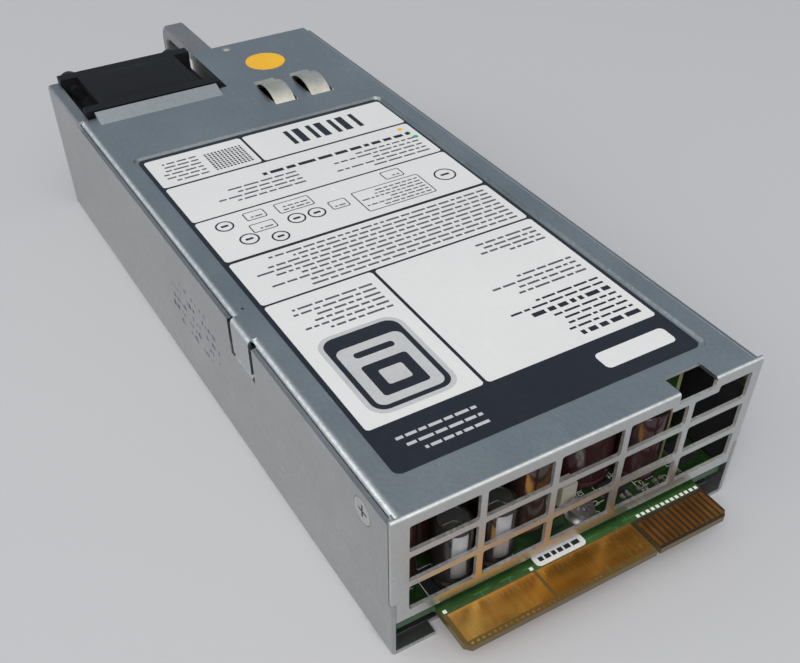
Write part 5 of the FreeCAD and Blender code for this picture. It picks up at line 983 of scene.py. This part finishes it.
# White outlines and dashes of the board's component print, in free places between the packages.
def printBoard(settings):
    random = np.random.default_rng(settings["seed"])
    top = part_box("main_board")[1].z / mm
    line, bars = settings["line"], []
    for count in range(settings["outlines"]):
        x, y = random.uniform(*settings["outlineX"]), random.uniform(*settings["outlineY"])
        long, short = random.uniform(*settings["long"]), random.uniform(*settings["short"])
        if count % 2:
            long, short = short, long
        if count % 3 == 0:
            bars += [(x, x + long, y, y + line), (x, x + long, y + short, y + short + line),
                     (x, x + line, y, y + short), (x + long, x + long + line, y, y + short + line)]
        else:
            bars.append((x, x + long, y, y + line) if count % 2 == 0 else (x, x + line, y, y + short))
    for count in range(settings["strokes"]):
        x, y = random.uniform(*settings["strokeX"]), random.uniform(*settings["strokeY"])
        bars.append((x, x + random.uniform(*settings["strokeLong"]), y, y + line))
    left, right, back, front = settings["patch"]
    bars += [(left, right, front, front + line), (left, right, back - line, back),
             (left - line, left, back, front), (right, right + line, back, front)]
    addPiece("boardPrint", *barStack(bars, top, top + settings["ink"]), "markWhite", "white_film")
    patch = barStack([settings["patch"]], top, top + settings["patchInk"])
    addPiece("boardPatch", *patch, "blackFilm", "black_film")


trimBoard(boardTrim)
printSlip(slipPrint)
printBoard(boardPrint)
print("board trimmed")


fanTop = {"rise": 0.32, "ripple": 0.05, "halfWidth": 14.6, "sinkIn": 0.6, "columns": 49, "rows": 25,
          "flange": 3.6, "gap": 0.4}


# The fan's upper side between the flanges: a low swell over the round duct. Its height is the top plus the rise
# times (1 - u squared)(1 - v to the eighth), with a faint ripple, and a flat floor and a rim close it.
def crownFan(settings):
    low, high = [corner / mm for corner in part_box("fan_frame")]
    rows, columns = settings["rows"], settings["columns"]
    middle = (low.x + high.x) / 2
    u = np.linspace(-1, 1, columns)[None, :]
    v = np.linspace(-1, 1, rows)[:, None]
    inset = settings["flange"] + settings["gap"]
    start, end = low.y + inset, high.y - inset
    x = np.repeat(middle + settings["halfWidth"] * u, rows, 0)
    y = np.repeat((start + end) / 2 + (end - start) / 2 * v, columns, 1)
    ripple = settings["ripple"] * np.cos(9 * u) * np.cos(5 * v)
    rise = settings["rise"] * (1 - u ** 2) * (1 - v ** 8) * (0.85 + ripple)
    upper = np.stack([x, y, high.z + rise], -1)
    lower = np.stack([x, y, np.full_like(x, high.z - settings["sinkIn"])], -1)
    points = np.concatenate([upper.reshape(-1, 3), lower.reshape(-1, 3)])
    row, column = np.meshgrid(np.arange(rows - 1), np.arange(columns - 1), indexing="ij")
    first = (row * columns + column).ravel()
    top = np.stack([first, first + 1, first + columns + 1, first + columns], -1)
    count = rows * columns
    rim = np.concatenate([np.arange(columns), columns * np.arange(2, rows + 1) - 1,
                          count - 2 - np.arange(columns - 1), columns * np.arange(rows - 2, 0, -1)])
    ahead = np.roll(rim, -1)
    wall = np.stack([rim + count, ahead + count, ahead, rim], -1)
    faces = np.concatenate([top, top[:, ::-1] + count, wall])
    addPiece("fanCrown", points, faces, "fanPlastic", "black_plastic", smooth=True)


crownFan(fanTop)
print("fan crowned")
